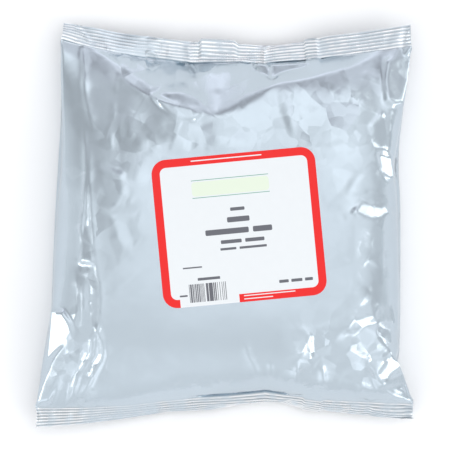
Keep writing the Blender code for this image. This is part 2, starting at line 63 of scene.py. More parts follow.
# The filled bag seen from above, millimetres from the middle of the picture
TOP_EDGE = ((-101, 126), (-84, 123.5), (-65, 119.5), (-22, 114.5), (24, 112), (38, 112),
            (50, 114.5), (65, 118), (84, 120), (116, 125))
BOTTOM_EDGE = ((-118, -126), (-97, -124.7), (-65, -121), (-34, -116), (-9, -115), (3, -113),
               (15, -110), (25, -107.5), (34, -110), (46, -113.5), (71, -116.5), (96, -119.5),
               (118, -121))
LEFT_FOLD = ((-118, -126), (-116, -103), (-113.5, -84), (-110, -65), (-107, -52), (-106, -22),
             (-104, 10), (-102, 26), (-100.5, 52), (-101, 70), (-102, 90), (-102, 112),
             (-101, 126))
RIGHT_FOLD = ((118, -121), (118, -115), (115, -102), (109.5, -86), (105.5, -77.5), (107, -70),
              (108, -46), (107.5, -3), (106, 28), (103, 38), (104, 46.5), (107, 59),
              (111.5, 84), (115.5, 111), (116, 125))
# The top seal takes its slack up in tucks: place, film taken up, half width
TUCKS = ((-62.5, 5.0, 4.0), (-33, 5.0, 4.0), (16, 6.0, 5.0), (52, 4.0, 4.0))
TIGHTEST_TUCK = 0.12          # of the film's width left in a tuck
# The line along which the front folds down towards the top seal
SHOULDER = ((-104, 112), (-79, 108), (-43, 79), (-34, 84), (-19, 73), (-5, 67), (6, 74),
            (31, 86), (65, 93), (108, 106), (116, 108))
SHORTEST_FALL = 6 * MM        # from it to the seal, as seen from above
FALL_SLOPES = (0.2, 1.6)      # the gentlest and the steepest

# How the film settles
PRESSING = 0.2 * MM           # how far the filling moves the film in a step
SINKING = 0.002 * MM          # how far its own weight does
MOMENTUM = 0.9                # of the last step, carried on into the next
FULL_HEIGHT = 55 * MM         # above which the pods' weight adds no load
LOAD_AT_TABLE = 1.5           # more than at the top, for the pods' weight
LOAD_AT_BOTTOM_SEAL = 0.3     # more than at the bag's middle
START_HEIGHTS = (25 * MM, 30 * MM, 22 * MM)   # of the seals, and the bulge up and down
START_ROUNDNESS = 0.6         # of the first bulge, whose sides are fuller the less it is
START_UNEVENNESS = 0.2 * MM
UNEVEN_SEED = 3
POINTS_PER_EASING = 30        # an outline's corners are eased once for each so many points
# The net's first cells across the flat bag and up it, and how each finer net settles: its
# steps, the rounds in a step, and how firmly film resists being pushed together
FIRST_NET = (36, 38)
SETTLING = ((500, 4, 0.1), (250, 5, 0.3), (120, 6, 0.6))
FILL_GAIN = 20                # how sharply the pressure follows what is left to fill
# How firmly the film keeps its length aslant, resists bends and stays at its seen edges
ASLANT_HOLD = 0.8
BEND_HOLD = 0.1
SEAL_EDGE_HOLD = 0.2
SIDE_FOLD_HOLD = 0.05
LABEL_ROUNDS = 2              # of easing that the paper gives the film under it
LABEL_FADE = 6 * MM           # over which the film under its edge loses its stiffness

# The inner edge of the bottom seal, which hangs down from it under the bulge of the pods
HANGING_SEAL = ((-118, -113.5), (-90, -113.5), (-60, -112), (-40, -109.5), (-20, -107.5),
                (0, -106.5), (16, -105), (25, -104), (36, -105.5), (60, -108.5), (90, -110),
                (118, -111))
HANGING_REACH = 34 * MM       # up the bag, over which the film above follows
LOWEST_CUT = 2 * MM           # over the table, for the seal's cut edge

# The finished film's net
FRONT_COLUMNS = 256
BACK_STEP = 2.5 * MM
FIN_STEPS = 6
SIDE_TURN = 0.5               # how far the skin's side edges face away from the bag
RIB_ROWS = 6                  # to each rib of the crimp
CAVITY_ROWS = 190

FIN_FADE = 1.5 * MM           # over which the front rises to cross the fin, across
FIN_FADE_UP = 12 * MM         # and along the bag
RIB_FADE = 1.2 * MM           # over which the ribs end at the seal's inner edge
# How bright the crimp leaves the metal, at the bottom seal and at the top one: painted shade in
# the grooves, as a share of the metal's colour, and painted highlights on the rib tops, as a grey
PAINTED_GROOVE_SHADES = (0.62, 0.84)
PAINTED_RIB_TOP_HIGHLIGHTS = (0.88, 0.98)

# The front's folds, millimetres from the middle of the picture. The shoulder fold: x, y and
# height. Between it and the top seal the film hangs straight, below it the film is domed.
SHOULDER_FOLD = ((-101, 112, 15.5), (-86, 110, 14), (-70, 100, 21.5), (-60, 94, 27),
                 (-50, 86.5, 32), (-42, 79.5, 36.5), (-34, 76.5, 38.6), (-24, 74, 39.8),
                 (-20, 74.5, 39.6), (-10, 69, 41.6), (-5, 67, 42.2), (0, 69, 41.8),
                 (10, 75, 40), (20, 81, 37.8), (29, 86, 35.2), (33, 87, 34.6), (45, 88.5, 33.6),
                 (60, 91.5, 31), (80, 96, 27), (100, 102, 20), (108, 104, 17.5), (116, 108, 14))
DOME_FOOT = ((-65, 15), (-38, 46))     # x and y, up to which the film keeps its settled shape
DOME_SLOPE = 0.15             # with which it leaves it
DOME_FADE = 12                # over which it leaves it
# How much the fold is flattened, by x: millimetres that its top is lowered
FOLD_BEVEL = ((-90, 1.8), (-60, 1.6), (-45, 1.2), (-36, 0.3), (-10, 0.2), (-2, 0.7), (10, 1.4),
              (22, 1.2), (28, 0.3), (36, 0.9), (60, 1.4), (90, 1.8))
BEVEL_SLOPE = 0.56
FOLD_EASE = 0.3
FOLD_BEND = 3                 # half the length over which the fold turns a corner
FOLD_SAMPLES = 7              # of its line over that length
HANG_LEFT = (0, 1.5)          # the settled left fold stays, up to this far and over a fade
HANG_RIGHT = (105, 17)        # and the settled right side beyond this place
EDGE_ROUND = 0.4              # radius of a sharp crease
FACET_FADE = 2.5
LABEL_HOLD = 4 * MM           # beside the label, over which it keeps the film smooth
# Crumpled film: an outline, and fold lines inside it, as x, y and how far they are raised
FACETS = (
    # the crumple left of the label
    (((-72, 8), (-60, 20), (-50, 12), (-47, -8), (-54, -24), (-66, -26), (-72, -10)),
     (((-67, -2, 0.5), (-66, -8, 0.8), (-62, -14, 0.9), (-58, -17, 0.3)),
      ((-59, 14, 0.5), (-57, 6, -0.3), (-53, -2, 0.6), (-50.5, -7, 0.3)),
      ((-67, -2, 0.5), (-62, 1, -0.4), (-57, 6, -0.3)),
      ((-62, -14, 0.9), (-57, -9, -0.4), (-53, -2, 0.6)))),
    # the wide turn of the shoulder left of its lowest point
    (((-48, 83), (-38, 88), (-26, 90), (-13, 83), (-9, 71), (-20, 72), (-34, 74), (-42, 77)),
     (((-43, 80), (-34, 76.5), (-24, 74), (-19, 75), (-11, 70)),
      ((-43, 80), (-35, 82, 3.0), (-26, 82, 3.9), (-18, 78, 2.2), (-11, 70)))),
    # the crumpled bottom right corner
    (((52, -62), (74, -52), (90, -46), (104, -48), (106.5, -60), (104.5, -77), (111, -87),
      (114, -98), (117, -110), (104, -106), (94, -104), (70, -92), (54, -90)),
     (((62, -75, 0.3), (68, -71, 0.8), (75, -64, 1.2), (79, -58, 1.0), (92, -57, 1.6),
       (95, -50, 0.6)),
      ((75, -64, 1.2), (79, -67, -1.0), (85, -63, -0.8), (95, -59.5, -0.8), (92, -57, 1.6)),
      ((79, -67, -1.0), (86, -82, 0.6), (98, -97.5, 1.8), (112, -88.5, 2.5)),
      ((95, -59.5, -0.8), (94, -68, 0.4), (103, -65, 1.2)),
      ((94, -68, 0.4), (103, -78, 0.6), (99, -85, 0.8), (98, -97.5, 1.8)))),
)
# Flat plates of film: which way they lean, as their rise to the right and up the bag, how far
# they are lifted, their outline, and over what width their edge is eased. The named ones show
# the eye a light.
TO_LEFT_LIGHT, TO_RIGHT_LIGHT, TO_LOW_LIGHT = (0.575, 0.216), (-0.588, -0.29), (-0.40, 0.28)
PLATES = (
    # the left side, from the top seal down
    ((0.42, -0.10), 0.9, ((-88.5, 1), (-84, 1), (-81, -20), (-80.3, -25), (-90.5, -23.5),
                          (-88.7, -10))),
    (TO_LEFT_LIGHT, 0.1, ((-92, -22.2), (-80, -23.2), (-82, -27), (-89, -28)), 0.6),
    ((0.47, 0.12), 0.1, ((-90, -27), (-81, -26), (-83, -34), (-88, -36)), 2),
    ((0.28, -0.13), 0, ((-80, 38), (-61, 34), (-59, 18), (-63, 10), (-70, 5), (-79, 8)), 5),
    # the bright lip left of the shoulder's lowest point
    ((0.02, -0.28), 0.4, ((-47, 81.5), (-38, 78.5), (-28, 74.5), (-20, 73), (-13, 69),
                          (-20, 64), (-31, 66), (-40, 73))),
    # the shadow where the folds meet under the seal
    ((0.15, -0.5), 0.5, ((15, 101.5), (20, 96), (26, 91), (29.5, 88.5), (28.5, 95), (27, 100.8))),
    ((-0.05, -0.56), 0.5, ((29.5, 88.5), (34, 92.5), (44, 96.5), (58, 102.5), (42, 101.3),
                           (27, 100.6), (28.5, 95))),
    # the sides
    ((-0.42, -0.38), 0, ((98, 104), (110, 108), (118, 108), (117, 90), (113, 72), (104, 72),
                         (98, 76), (97, 90)), 4),
    ((-0.55, -0.03), -0.3, ((97, 72), (104, 64), (104, 46), (96, 44), (91, 50), (88, 62)), 4),
    (TO_RIGHT_LIGHT, -0.3, ((77.5, 8), (83.5, 13.8), (88.5, 15), (95, 13.5), (102, 10), (105, 6),
                            (95, 3.6), (87, 4.2), (81, 5.4))),
    (TO_RIGHT_LIGHT, 0.1, ((93.5, 45), (98, 46), (103.5, 43), (105.5, 35), (105.5, 27.5),
                           (102, 26.5), (98, 30), (95, 38))),
    ((0.34, 0.16), 0, ((-96, -74), (-103, -74), (-109, -84), (-115, -98), (-119, -113),
                       (-108, -111), (-103, -98), (-97, -84)), 2.5),
    (TO_LEFT_LIGHT, 1.0, ((-108.5, -52), (-100, -52.5), (-95, -60), (-93.5, -67), (-97, -72),
                          (-104, -79), (-112, -85))),
    (TO_LOW_LIGHT, 0.5, ((79, -57), (92, -56), (95, -59.5), (85, -63.5), (79, -68), (74, -64))),
    (TO_LOW_LIGHT, 0.5, ((103, -78), (110, -86), (112, -89), (98, -98), (95, -98), (94, -92),
                         (99, -85))),
    (TO_LOW_LIGHT, 0.8, ((97, -100), (111, -101), (116, -110), (106, -105))),
    (TO_LOW_LIGHT, 0.4, ((95, -61.5), (103, -65), (94, -68))),
)
PLATE_EDGE = 1.2
CREASE_REACH = 5              # how many of its widths off a crease is still felt
CREASE_ENDS = 0.3             # of its length, over which each end runs out
# Folded edges: height, reach to the left and to the right of the way, and the way
CREASES = (
    # the left side, from the top seal down
    (1.6, 3.2, 0.9, ((-88.6, 116), (-87.9, 98), (-87.3, 80))),
    (1.3, 3.2, 1.8, ((-87.5, 97), (-86.6, 80), (-84.5, 70), (-80.5, 56))),
    (1.0, 3.0, 1.6, ((-77, 103), (-72, 100), (-66, 93.5), (-60, 88), (-50, 81), (-42, 77.5))),
    (1.3, 1.0, 1.0, ((-87.3, 66), (-87, 56), (-86.4, 46), (-86.3, 30), (-87.6, 14),
                     (-89, 0), (-90.5, -22))),
    (1.2, 3.2, 1.2, ((-84, 60), (-84, 42), (-84, 28), (-82.3, 0), (-79.8, -25),
                     (-77.5, -36))),
    (0.6, 2.5, 1.2, ((-81.5, -10), (-79.5, -25), (-77, -38), (-76.5, -52), (-79, -68))),
    (0.4, 1.0, 1.2, ((-89.2, 6), (-89.4, 0), (-88.6, -10), (-90, -20), (-93, -25))),
    (0.5, 0.6, 1.2, ((-67.8, 97), (-68, 90), (-67.3, 81))),
    (0.35, 0.6, 1.0, ((-68.8, 79), (-68.8, 72), (-69, 65))),
    (0.45, 0.6, 1.0, ((-70.4, 58), (-70.4, 52), (-69.5, 46))),
    (0.6, 1.4, 1.4, ((-93, -24), (-91.5, -40), (-92, -55), (-94, -66))),
    (0.5, 1.4, 1.4, ((-88, -30), (-87.5, -45), (-87, -58), (-89, -70))),
    (-0.7, 1.3, 1.3, ((-84, -30), (-84, -50), (-85.5, -66))),
    # between them and the label
    (2.0, 12, 8, ((-35, 42), (-30, 55), (-26, 65), (-32, 70), (-42, 79))),
    (0.3, 2.5, 2.5, ((-72, -43), (-60, -35), (-50, -27))),
    (0.4, 2.0, 3.0, ((-50, 55), (-44, 53), (-41.5, 49), (-44, 45), (-52, 41))),
    # above the label
    (-0.35, 1.5, 2.5, ((30, 86), (34, 70), (42, 52))),
    (0.5, 3, 4, ((33, 86), (39, 72), (43.5, 51))),
    (-0.35, 1.5, 2.5, ((36, 86), (46, 70), (46.5, 58))),
    (-0.4, 2, 2, ((-24, 63), (-16, 61), (-8, 64), (10, 66))),
    # above the shoulder
    (0.8, 6, 6, ((-4.5, 99), (-4.5, 80))),
    (0.7, 3, 5, ((-22, 80), (-20, 88), (-5, 99))),
    (0.6, 4, 2.5, ((-44, 101), (-36, 93), (-30, 90))),
    (-2.0, 1.2, 3.0, ((-32, 103), (-22, 97.5), (-17.5, 90))),
    (-1.6, 0.6, 2.0, ((-100, 111.5), (-85, 109.5), (-70, 107), (-50, 103.8), (-30, 101.3),
                      (-20, 100.8), (0, 101.8), (20, 101), (40, 101.8), (60, 103.8), (80, 106.8),
                      (100, 109.3))),
    # the right side
    (0.6, 8, 2, ((60, 10), (72, 21), (79, 31))),
    (2.4, 7, 24, ((70, 5), (80, 5), (92, 4), (100, 4), (109, 3))),
    (-0.4, 1.2, 1.2, ((88.5, 37), (82, 30), (77, 22), (75, 15))),
    (-0.5, 2, 4, ((45, 51), (50, 53), (57, 49), (65, 48), (75, 51), (79, 56))),
    (0.8, 1.0, 1.4, ((83, 91.5), (88, 94), (93, 91.5), (97, 90))),
    (0.5, 1.2, 1.5, ((64, 85), (70, 81), (74, 77))),
    (-0.5, 1.0, 1.0, ((76, 77), (80, 76), (85, 76))),
    (0.25, 0.7, 0.7, ((84, 79), (88, 74), (94, 71))),
    (0.5, 2.0, 0.8, ((82, -24), (86, -23.5), (88.5, -21), (93, -23.5), (99, -27))),
    (0.5, 0.8, 0.8, ((100, -3.5), (103, -2), (106, -0.8))),
    (0.4, 1.0, 0.8, ((78, 20.2), (83, 20.6), (89, 20))),
    (-0.4, 1.5, 1.0, ((69, 13), (70.5, 8), (75, 1))),
    # the bottom
    (-1.9, 4.0, 0.9, ((-30, -107.5), (-10, -106.2), (5, -105), (16, -104.2), (25, -103.2),
                      (36, -104.7), (55, -107.2))),
    (1.2, 2.2, 1.8, ((-102, -118), (-97, -110), (-94, -102), (-91, -93), (-87, -87),
                     (-83, -80), (-82, -70), (-78, -63), (-75, -52)), True),
    (1.2, 1.8, 1.6, ((-77, -88), (-75.5, -80), (-76, -72), (-79, -64), (-83, -60)), True),
    (1.5, 3.0, 2.6, ((-92, -113), (-88, -105), (-83, -95), (-78, -86), (-74, -78)), True),
    (-0.6, 2.0, 3.0, ((-34, -100), (-27, -98), (-18.5, -94.5), (-8, -99.5), (4, -101.5))),
    (0.8, 1.5, 2.5, ((12, -68), (14.5, -80), (19.5, -90), (20.5, -100))),
    (0.8, 1.0, 1.2, ((28, -84), (29, -98))),
    (0.6, 1.0, 1.0, ((22.5, -96), (25.5, -104))),
    (1.5, 2.0, 2.5, ((46.5, -82), (44, -94), (43, -108))),
    (0.6, 0.8, 1.5, ((41, -62), (46, -63), (51, -66.5), (52, -70), (49, -77), (46.5, -83))),
    (0.7, 0.9, 0.9, ((58, -80), (56, -84), (54, -89))),
    (1.2, 1.5, 1.5, ((59, -84), (60.5, -92), (62, -102))),
    (0.5, 0.8, 0.8, ((52, -66), (55, -72))),
)
# Soft swellings and dents: height, half length, half width, turn in degrees, place
SWELLINGS = (
    (-0.6, 12, 7, -6, (91, 18)),
    (0.9, 8, 6, 0, (85, -43)),
    (0.5, 4, 3, 60, (-57, 15)),
    (1.2, 5, 9, 0, (-60, 61)),
    (0.8, 4, 4, 0, (-52, 50)),
    (0.4, 3, 2, -30, (-36, 53)),
    (-0.7, 3, 3, 0, (-46, 101)),
)

# The top seal as it lies: a flap folded over, and pleats that draw its ribs down, as place,
# half width and how far. The flap: its sides and how far each takes to rise
FLAP = (-16, 9, 0.8, 4)
FLAP_REACH = 2.2 * MM
FLAP_LIFT = 1.0 * MM
FLAP_STEEPNESS = 3            # it is fully up at a third of the seal's height
PLEAT_ROOT = 0.4              # how deep a pleat is at the seal's inner edge
PLEATS = ((24.5, 4.0, -1.4), (-22, 3.0, -0.7), (49, 1.5, -0.5), (58.5, 1.5, -0.5))
SEAL_FADE = 5 * MM            # past its inner edge, over which the seal's own creases end
SEAL_CREASES = (
    (0.9, 0.6, 0.9, ((24.3, 112), (24.6, 106), (24.5, 99))),
    (0.6, 1.2, 1.2, ((-35, 114), (-34.5, 109), (-35.5, 103))),
    (0.6, 0.8, 1.6, ((-24, 112), (-22.5, 106), (-21.5, 99))),
    (0.5, 1.0, 1.0, ((-39, 114), (-38.5, 108))),
    (0.5, 1.2, 1.2, ((-73, 112), (-73, 106))),
    (0.7, 0.8, 0.8, ((-50, 106), (-48, 108), (-45, 108), (-43, 106), (-43.5, 103))),
    (0.4, 1.0, 1.0, ((41, 110), (41.5, 102))),
    (0.5, 0.7, 0.7, ((6, 110), (7.5, 101))),
)
# How strongly the crimp shows, by place across the bag
RIB_STRENGTH = ((-120, 1.2), (-90, 1.2), (-84, 0.6), (-62, 0.4), (-44, 0.4), (-38, 0.9),
                (-30, 0.7), (-22, 1.0), (-12, 0.9), (10, 1.2), (40, 1.2), (49, 1.3), (50, 1.7),
                (57.5, 1.7), (58.5, 1.2), (70, 1.0), (118, 0.9))
# Where the film is crumpled: strength, half length, half width, turn in degrees, place
CRUMPLED = ((0.45, 45, 14, 4, (0, 60)), (0.8, 26, 22, 0, (62, 62)), (0.35, 14, 60, 0, (88, 0)),
            (0.9, 30, 18, 10, (78, -76)), (0.6, 12, 15, 0, (50, -76)),
            (0.5, 14, 30, 0, (-60, 45)), (0.5, 8, 60, 0, (-84, -30)),
            (0.6, 14, 30, 0, (-90, -85)), (0.4, 34, 10, -10, (-40, 95)),
            (0.3, 16, 12, 0, (88, 84)), (0.2, 60, 7, 0, (0, -101)))
CRUMPLED_FRONT, CRUMPLED_BACK = 0.1, 0.5      # elsewhere

# The label's net, and the gap that keeps it a piece of its own
LABEL_COLUMNS = 28            # from its middle to a corner
CORNER_STEPS = 10
LABEL_ROWS = 57
STUCK_GAP = 0.05 * MM

# The heap of pods: its share of the bag's size, its ends and its net
HEAP_SHARE = (0.88, 0.86, 0.7)
HEAP_END = 28 * MM
HEAP_COLUMNS, HEAP_ROWS = 64, 28
HEAP_PRESSES = 12             # away from the film, to make room for pods
POD_CLEARANCE = 1.2 * MM
ENOUGH_ROOM = 0.98            # of a pod's radius and clearance
PODS_TRIED = 1e6              # places tried to each square metre
ALL_CORNERS_ROOMY = 0.99      # the mean over a face that has room at every corner
# A pod's rings: share of its length and of its radius
POD_RINGS = ((0.0, 0.22), (0.06, 0.5), (0.28, 0.92), (0.5, 1.0), (0.78, 0.66), (1.0, 0.10))
POD_SIDES = 6
POD_EDGE = 0.07               # how far its three edges stand out, of its radius

SHARP_EDGE = math.radians(50)   # a turn that is shaded as an edge

# The film's crumpled facets: their width, and how far they lean
FACET_LEANS = ((17 * MM, 0.4), (7 * MM, 0.25))
FACET_BENDS = 0.8             # bends in an edge as long as a facet is wide
FACET_BOW = 0.6               # how far they bow it, of that width
# The grain of the finishes, as how wide it is, how high, and how many finer layers it has. The
# jaws' grain, the film's own, the paper's fibres and the floor's tooth are finer in truth, and
# are drawn as coarse as they need to show. The paper's widths are in millimetres.
POD_SWELLS = (22 * MM, 0.5 * MM)
JAW_GRAIN = (1.1 * MM, 0.012 * MM)
FILM_GRAIN = (0.7 * MM, 0.012 * MM)
PAPER_FIBRES = (0.35, 0.01 * MM, 3.0)
HUSK_FIBRES = (0.9 * MM, 0.15 * MM, 4.0)
FLOOR_TOOTH = (0.8 * MM, 0.01 * MM)
# The patches in them: how wide they are, the part of a cloud over which they change, from what
# to what, and their finer layers
CLOUDED_METAL = (60 * MM, (0.35, 0.65), (0, 1))
# where the crimp's painted rib highlights and painted groove shade show, in patches
RIB_LIGHT_PATCHES = (7 * MM, (0.35, 0.65), (0.35, 1.0))
MOTTLED_PAPER = (6.0, (0.3, 0.7), (0, 1), 4.0)
FADED_HUSK = (9 * MM, (0.35, 0.65), (0, 1), 3.0)
FLECKED_HUSK = (0.8 * MM, (0.55, 0.75), (0, 0.5), 3.0)
HAZE_WIDTH, HAZE_SPAN = 35 * MM, (0.3, 0.7)
HAZE_SHIFTS = (-0.03, 0.05)   # of the film's roughness
CRIMP_DULLING = 0.04          # of it by the jaws
# How bright the patches leave the metal and the paper, and how rough the other finishes are
CLOUD_SHADE, MOTTLE_SHADE = 0.96, 0.99
PAPER_ROUGHNESS = (0.5, 0.36)    # bare and printed
HUSK_ROUGHNESS = (0.7, 0.85)     # green and faded
FLOOR_ROUGHNESS = 0.9
STRAW, HUSK_FLECK = "#B9AD7C", "#6E6A3C"
# The label's print, in millimetres from its middle: the gap in its border and the block of
# stripes, as middle and half size, and plain bars, as colour, middle and size
INK_EDGE = 0.12
BORDER_GAP = ((-22.15, -43), (18.25, 6))
STRIPES = ((-23.7, -37.9), (12.3, 5.7))
STRIPE_WIDTH = 0.35
STRIPED_SHARE = 0.5
BARS = (
    ("pale", -3, 26, 48, 9.0), ("green", -3, 20.6, 48, 0.5), ("green", -3, 31.4, 48, 0.5),
    ("black", 0.0, 11.8, 9, 2.2), ("black", 0.0, 5.4, 14, 3.4),
    ("black", -7.6, -1.6, 27, 3.6), ("black", 14.4, -1.6, 12, 3.6),
    ("black", -5.6, -8.0, 13, 2.4), ("black", 9.0, -8.0, 12, 2.4),
    ("black", -7.8, -12.4, 10, 1.6), ("black", 7.6, -12.4, 17, 1.6),
    ("black", -31, -22, 12, 1.0), ("black", -38, -39, 5, 1.2), ("black", -21.5, -29.5, 14, 1.8),
    ("black", 24.5, -35.5, 6, 2.0), ("black", 32.5, -35.5, 7, 2.0), ("black", 40, -35.5, 5, 2.0),
    ("white", -4, 43.6, 44, 0.8), ("white", 15, -42.2, 32, 0.7), ("white", 8, -44.2, 18, 0.7),
)

SHOWN_FLOOR = 3.0
SENSOR_WIDTH = 36
FIELD_HEIGHT = 32 * MM        # over the table, where the picture is as wide as its field
# The studio's soft light: where it comes from, how sharply it fades and its gain
STUDIO_LIGHT = 1.03
SOFT_SOURCES = (((0.22, 0.46, 0.86), 12, 0.57), ((0.63, -0.25, 0.73), 16, 0.25),
                ((-0.20, 0.0, 0.98), 25, 0.24), ((0.0, 1.0, 0.0), 30, 0.55),
                ((-0.64, 0.30, 0.70), 9, -0.42), ((0.85, 0.0, 0.53), 14, -0.30),
                ((-0.07, 0.84, 0.54), 36, -0.64), ((0.62, 0.59, 0.52), 22, -0.42),
                ((0.43, -0.75, 0.50), 32, 0.6), ((-0.43, -0.75, 0.50), 32, 0.6))
# Its softboxes, aimed at the bag, as name, place, width, height and power
SOFTBOXES = (("right_softbox", (1.83, 0.91, 0.82), 0.8, 0.8, 3.5),
             ("low_softbox", (1.41, -1.0, 1.32), 0.8, 0.8, 3.5),
             ("left_softbox", (-1.85, -0.74, 0.9), 0.8, 0.9, 4.2))
LIGHT_TINTS = ("#FAFCFF", "#F9F8FF")   # its colour from the bottom end and from the top one
LIGHT_CHANGE = (0.4, 1.0)     # how far towards the top end, over which one gives way


def size(name, default, description):
    return FloatProperty(name=name, description=description, default=default, precision=5,
                         unit="LENGTH", subtype="DISTANCE")


def fraction(name, default, description):
    return FloatProperty(name=name, description=description, default=default, min=0, max=1,
                         subtype="FACTOR")


def linear(hex_colour):
    """An sRGB hex colour as linear numbers."""
    parts = [int(hex_colour[k:k + 2], 16) / 255 for k in (1, 3, 5)]
    return tuple(p / 12.92 if p <= 0.04045 else ((p + 0.055) / 1.055) ** 2.4 for p in parts)


def colour(name, default, description):
    return FloatVectorProperty(name=name, description=description, default=linear(default),
                               min=0, max=1, size=3, subtype="COLOR")


def smooth(x):
    return x * x * (3 - 2 * x)


class FilmSettings(bpy.types.PropertyGroup):
    flat_width: size("Flat width", 240 * MM, "Width of the empty bag, lying flat")
    cut_length: size("Cut length", 256 * MM, "Length of the empty bag from cut to cut")
    end_seal: size("End seal", 13.5 * MM, "Height of each crimped end seal")
    fin_root: size("Fin root", 50 * MM, "From the middle of the back to the fin's fold")
    fin_width: size("Fin width", 10 * MM, "Width of the fin seal, which lies folded flat")
    film: size("Film", 0.25 * MM, "Thickness of the film")
    slot: size("Slot", 0.3 * MM, "Gap between layers that lie on each other")
    shoulder: size("Shoulder", 45 * MM, "Height of the front where it turns to the top seal")
    rib_pitch: size("Rib pitch", 2.1 * MM, "Distance between the ribs of the crimp")
    rib_height: size("Rib height", 0.42 * MM, "Height of the ribs of the crimp")
    litres: FloatProperty(name="Litres", description="Pods and air in the bag", default=1.68)
    metal: colour("Metal", "#C2CDD5", "Colour of the vacuum-coated aluminium")
    roughness: fraction("Roughness", 0.22, "Roughness of the film's satin side")


class LabelSettings(bpy.types.PropertyGroup):
    width: size("Width", 101.6 * MM, "Width of the label")
    height: size("Height", 92 * MM, "Height of the label")
    corner: size("Corner", 9 * MM, "Radius of the label's corners")
    border: size("Border", 5 * MM, "Width of the printed border")
    paper: size("Paper", 0.2 * MM, "Thickness of the label")
    across: size("Across", 8.7 * MM, "Label's middle, across the bag")
    along: size("Along", -1.6 * MM, "Label's middle, along the bag")
    turn: FloatProperty(name="Turn", description="How far the label is stuck on askew",
                        default=math.radians(5.4), subtype="ANGLE")
    white: colour("Paper", "#E7EAEB", "Colour of the label's paper")
    red: colour("Border", "#EA0500", "Colour of the printed border")
    black: colour("Print", "#63646B", "Colour of the plain bars and the stripes")
    green: colour("Rules", "#4F9E86", "Colour of the two thin rules")
    pale: colour("Band", "#E2ECD8", "Colour of the band between the rules")


class PodSettings(bpy.types.PropertyGroup):
    length: size("Length", 17 * MM, "Length of a pod")
    radius: size("Radius", 4.2 * MM, "Radius of a pod")
    spacing: size("Spacing", 8 * MM, "Least distance between pods on the heap")
    seed: IntProperty(name="Seed", description="Which way the pods lie", default=4)
    husk: colour("Husk", "#8E9657", "Colour of the dried husk")


class StageSettings(bpy.types.PropertyGroup):
    field: size("Field", 279 * MM, "Width of the picture, two thirds of the way up the bag")
    distance: size("Distance", 4.0, "Height of the camera over the bag")
    floor: colour("Floor", "#FEFEFE", "Colour of the floor")


class Cut(NamedTuple):
    """The film as cut, and what fills it."""
    flat_width: float
    cut_length: float
    end_seal: float
    volume: float
    shoulder: float
    label: tuple


# The film

def along(points, fractions):
    """Places at the given fractions of a line's length, and that length."""
    line = np.array(points, float) * MM
    walked = np.r_[0, np.cumsum(np.linalg.norm(np.diff(line, axis=0), axis=1))]
    at = np.asarray(fractions) * walked[-1]
    return np.stack([np.interp(at, walked, line[:, k]) for k in (0, 1)], -1), walked[-1]


def ease(rows):
    """Moves each row towards its two neighbours, apart from the first and the last."""
    rows[1:-1] = 0.25 * rows[:-2] + 0.5 * rows[1:-1] + 0.25 * rows[2:]


def rounded(line):
    """The same line with its corners eased, the more the closer its points are."""
    for _ in range(len(line) // POINTS_PER_EASING):
        ease(line)
    return line


def label_axes(x, y, label):
    """Places on the table as places along the label's own width and height."""
    _, _, across, along_bag, turn = label
    x, y = x - across, y - along_bag
    c, s = math.cos(turn), math.sin(turn)
    return x * c + y * s, y * c - x * s


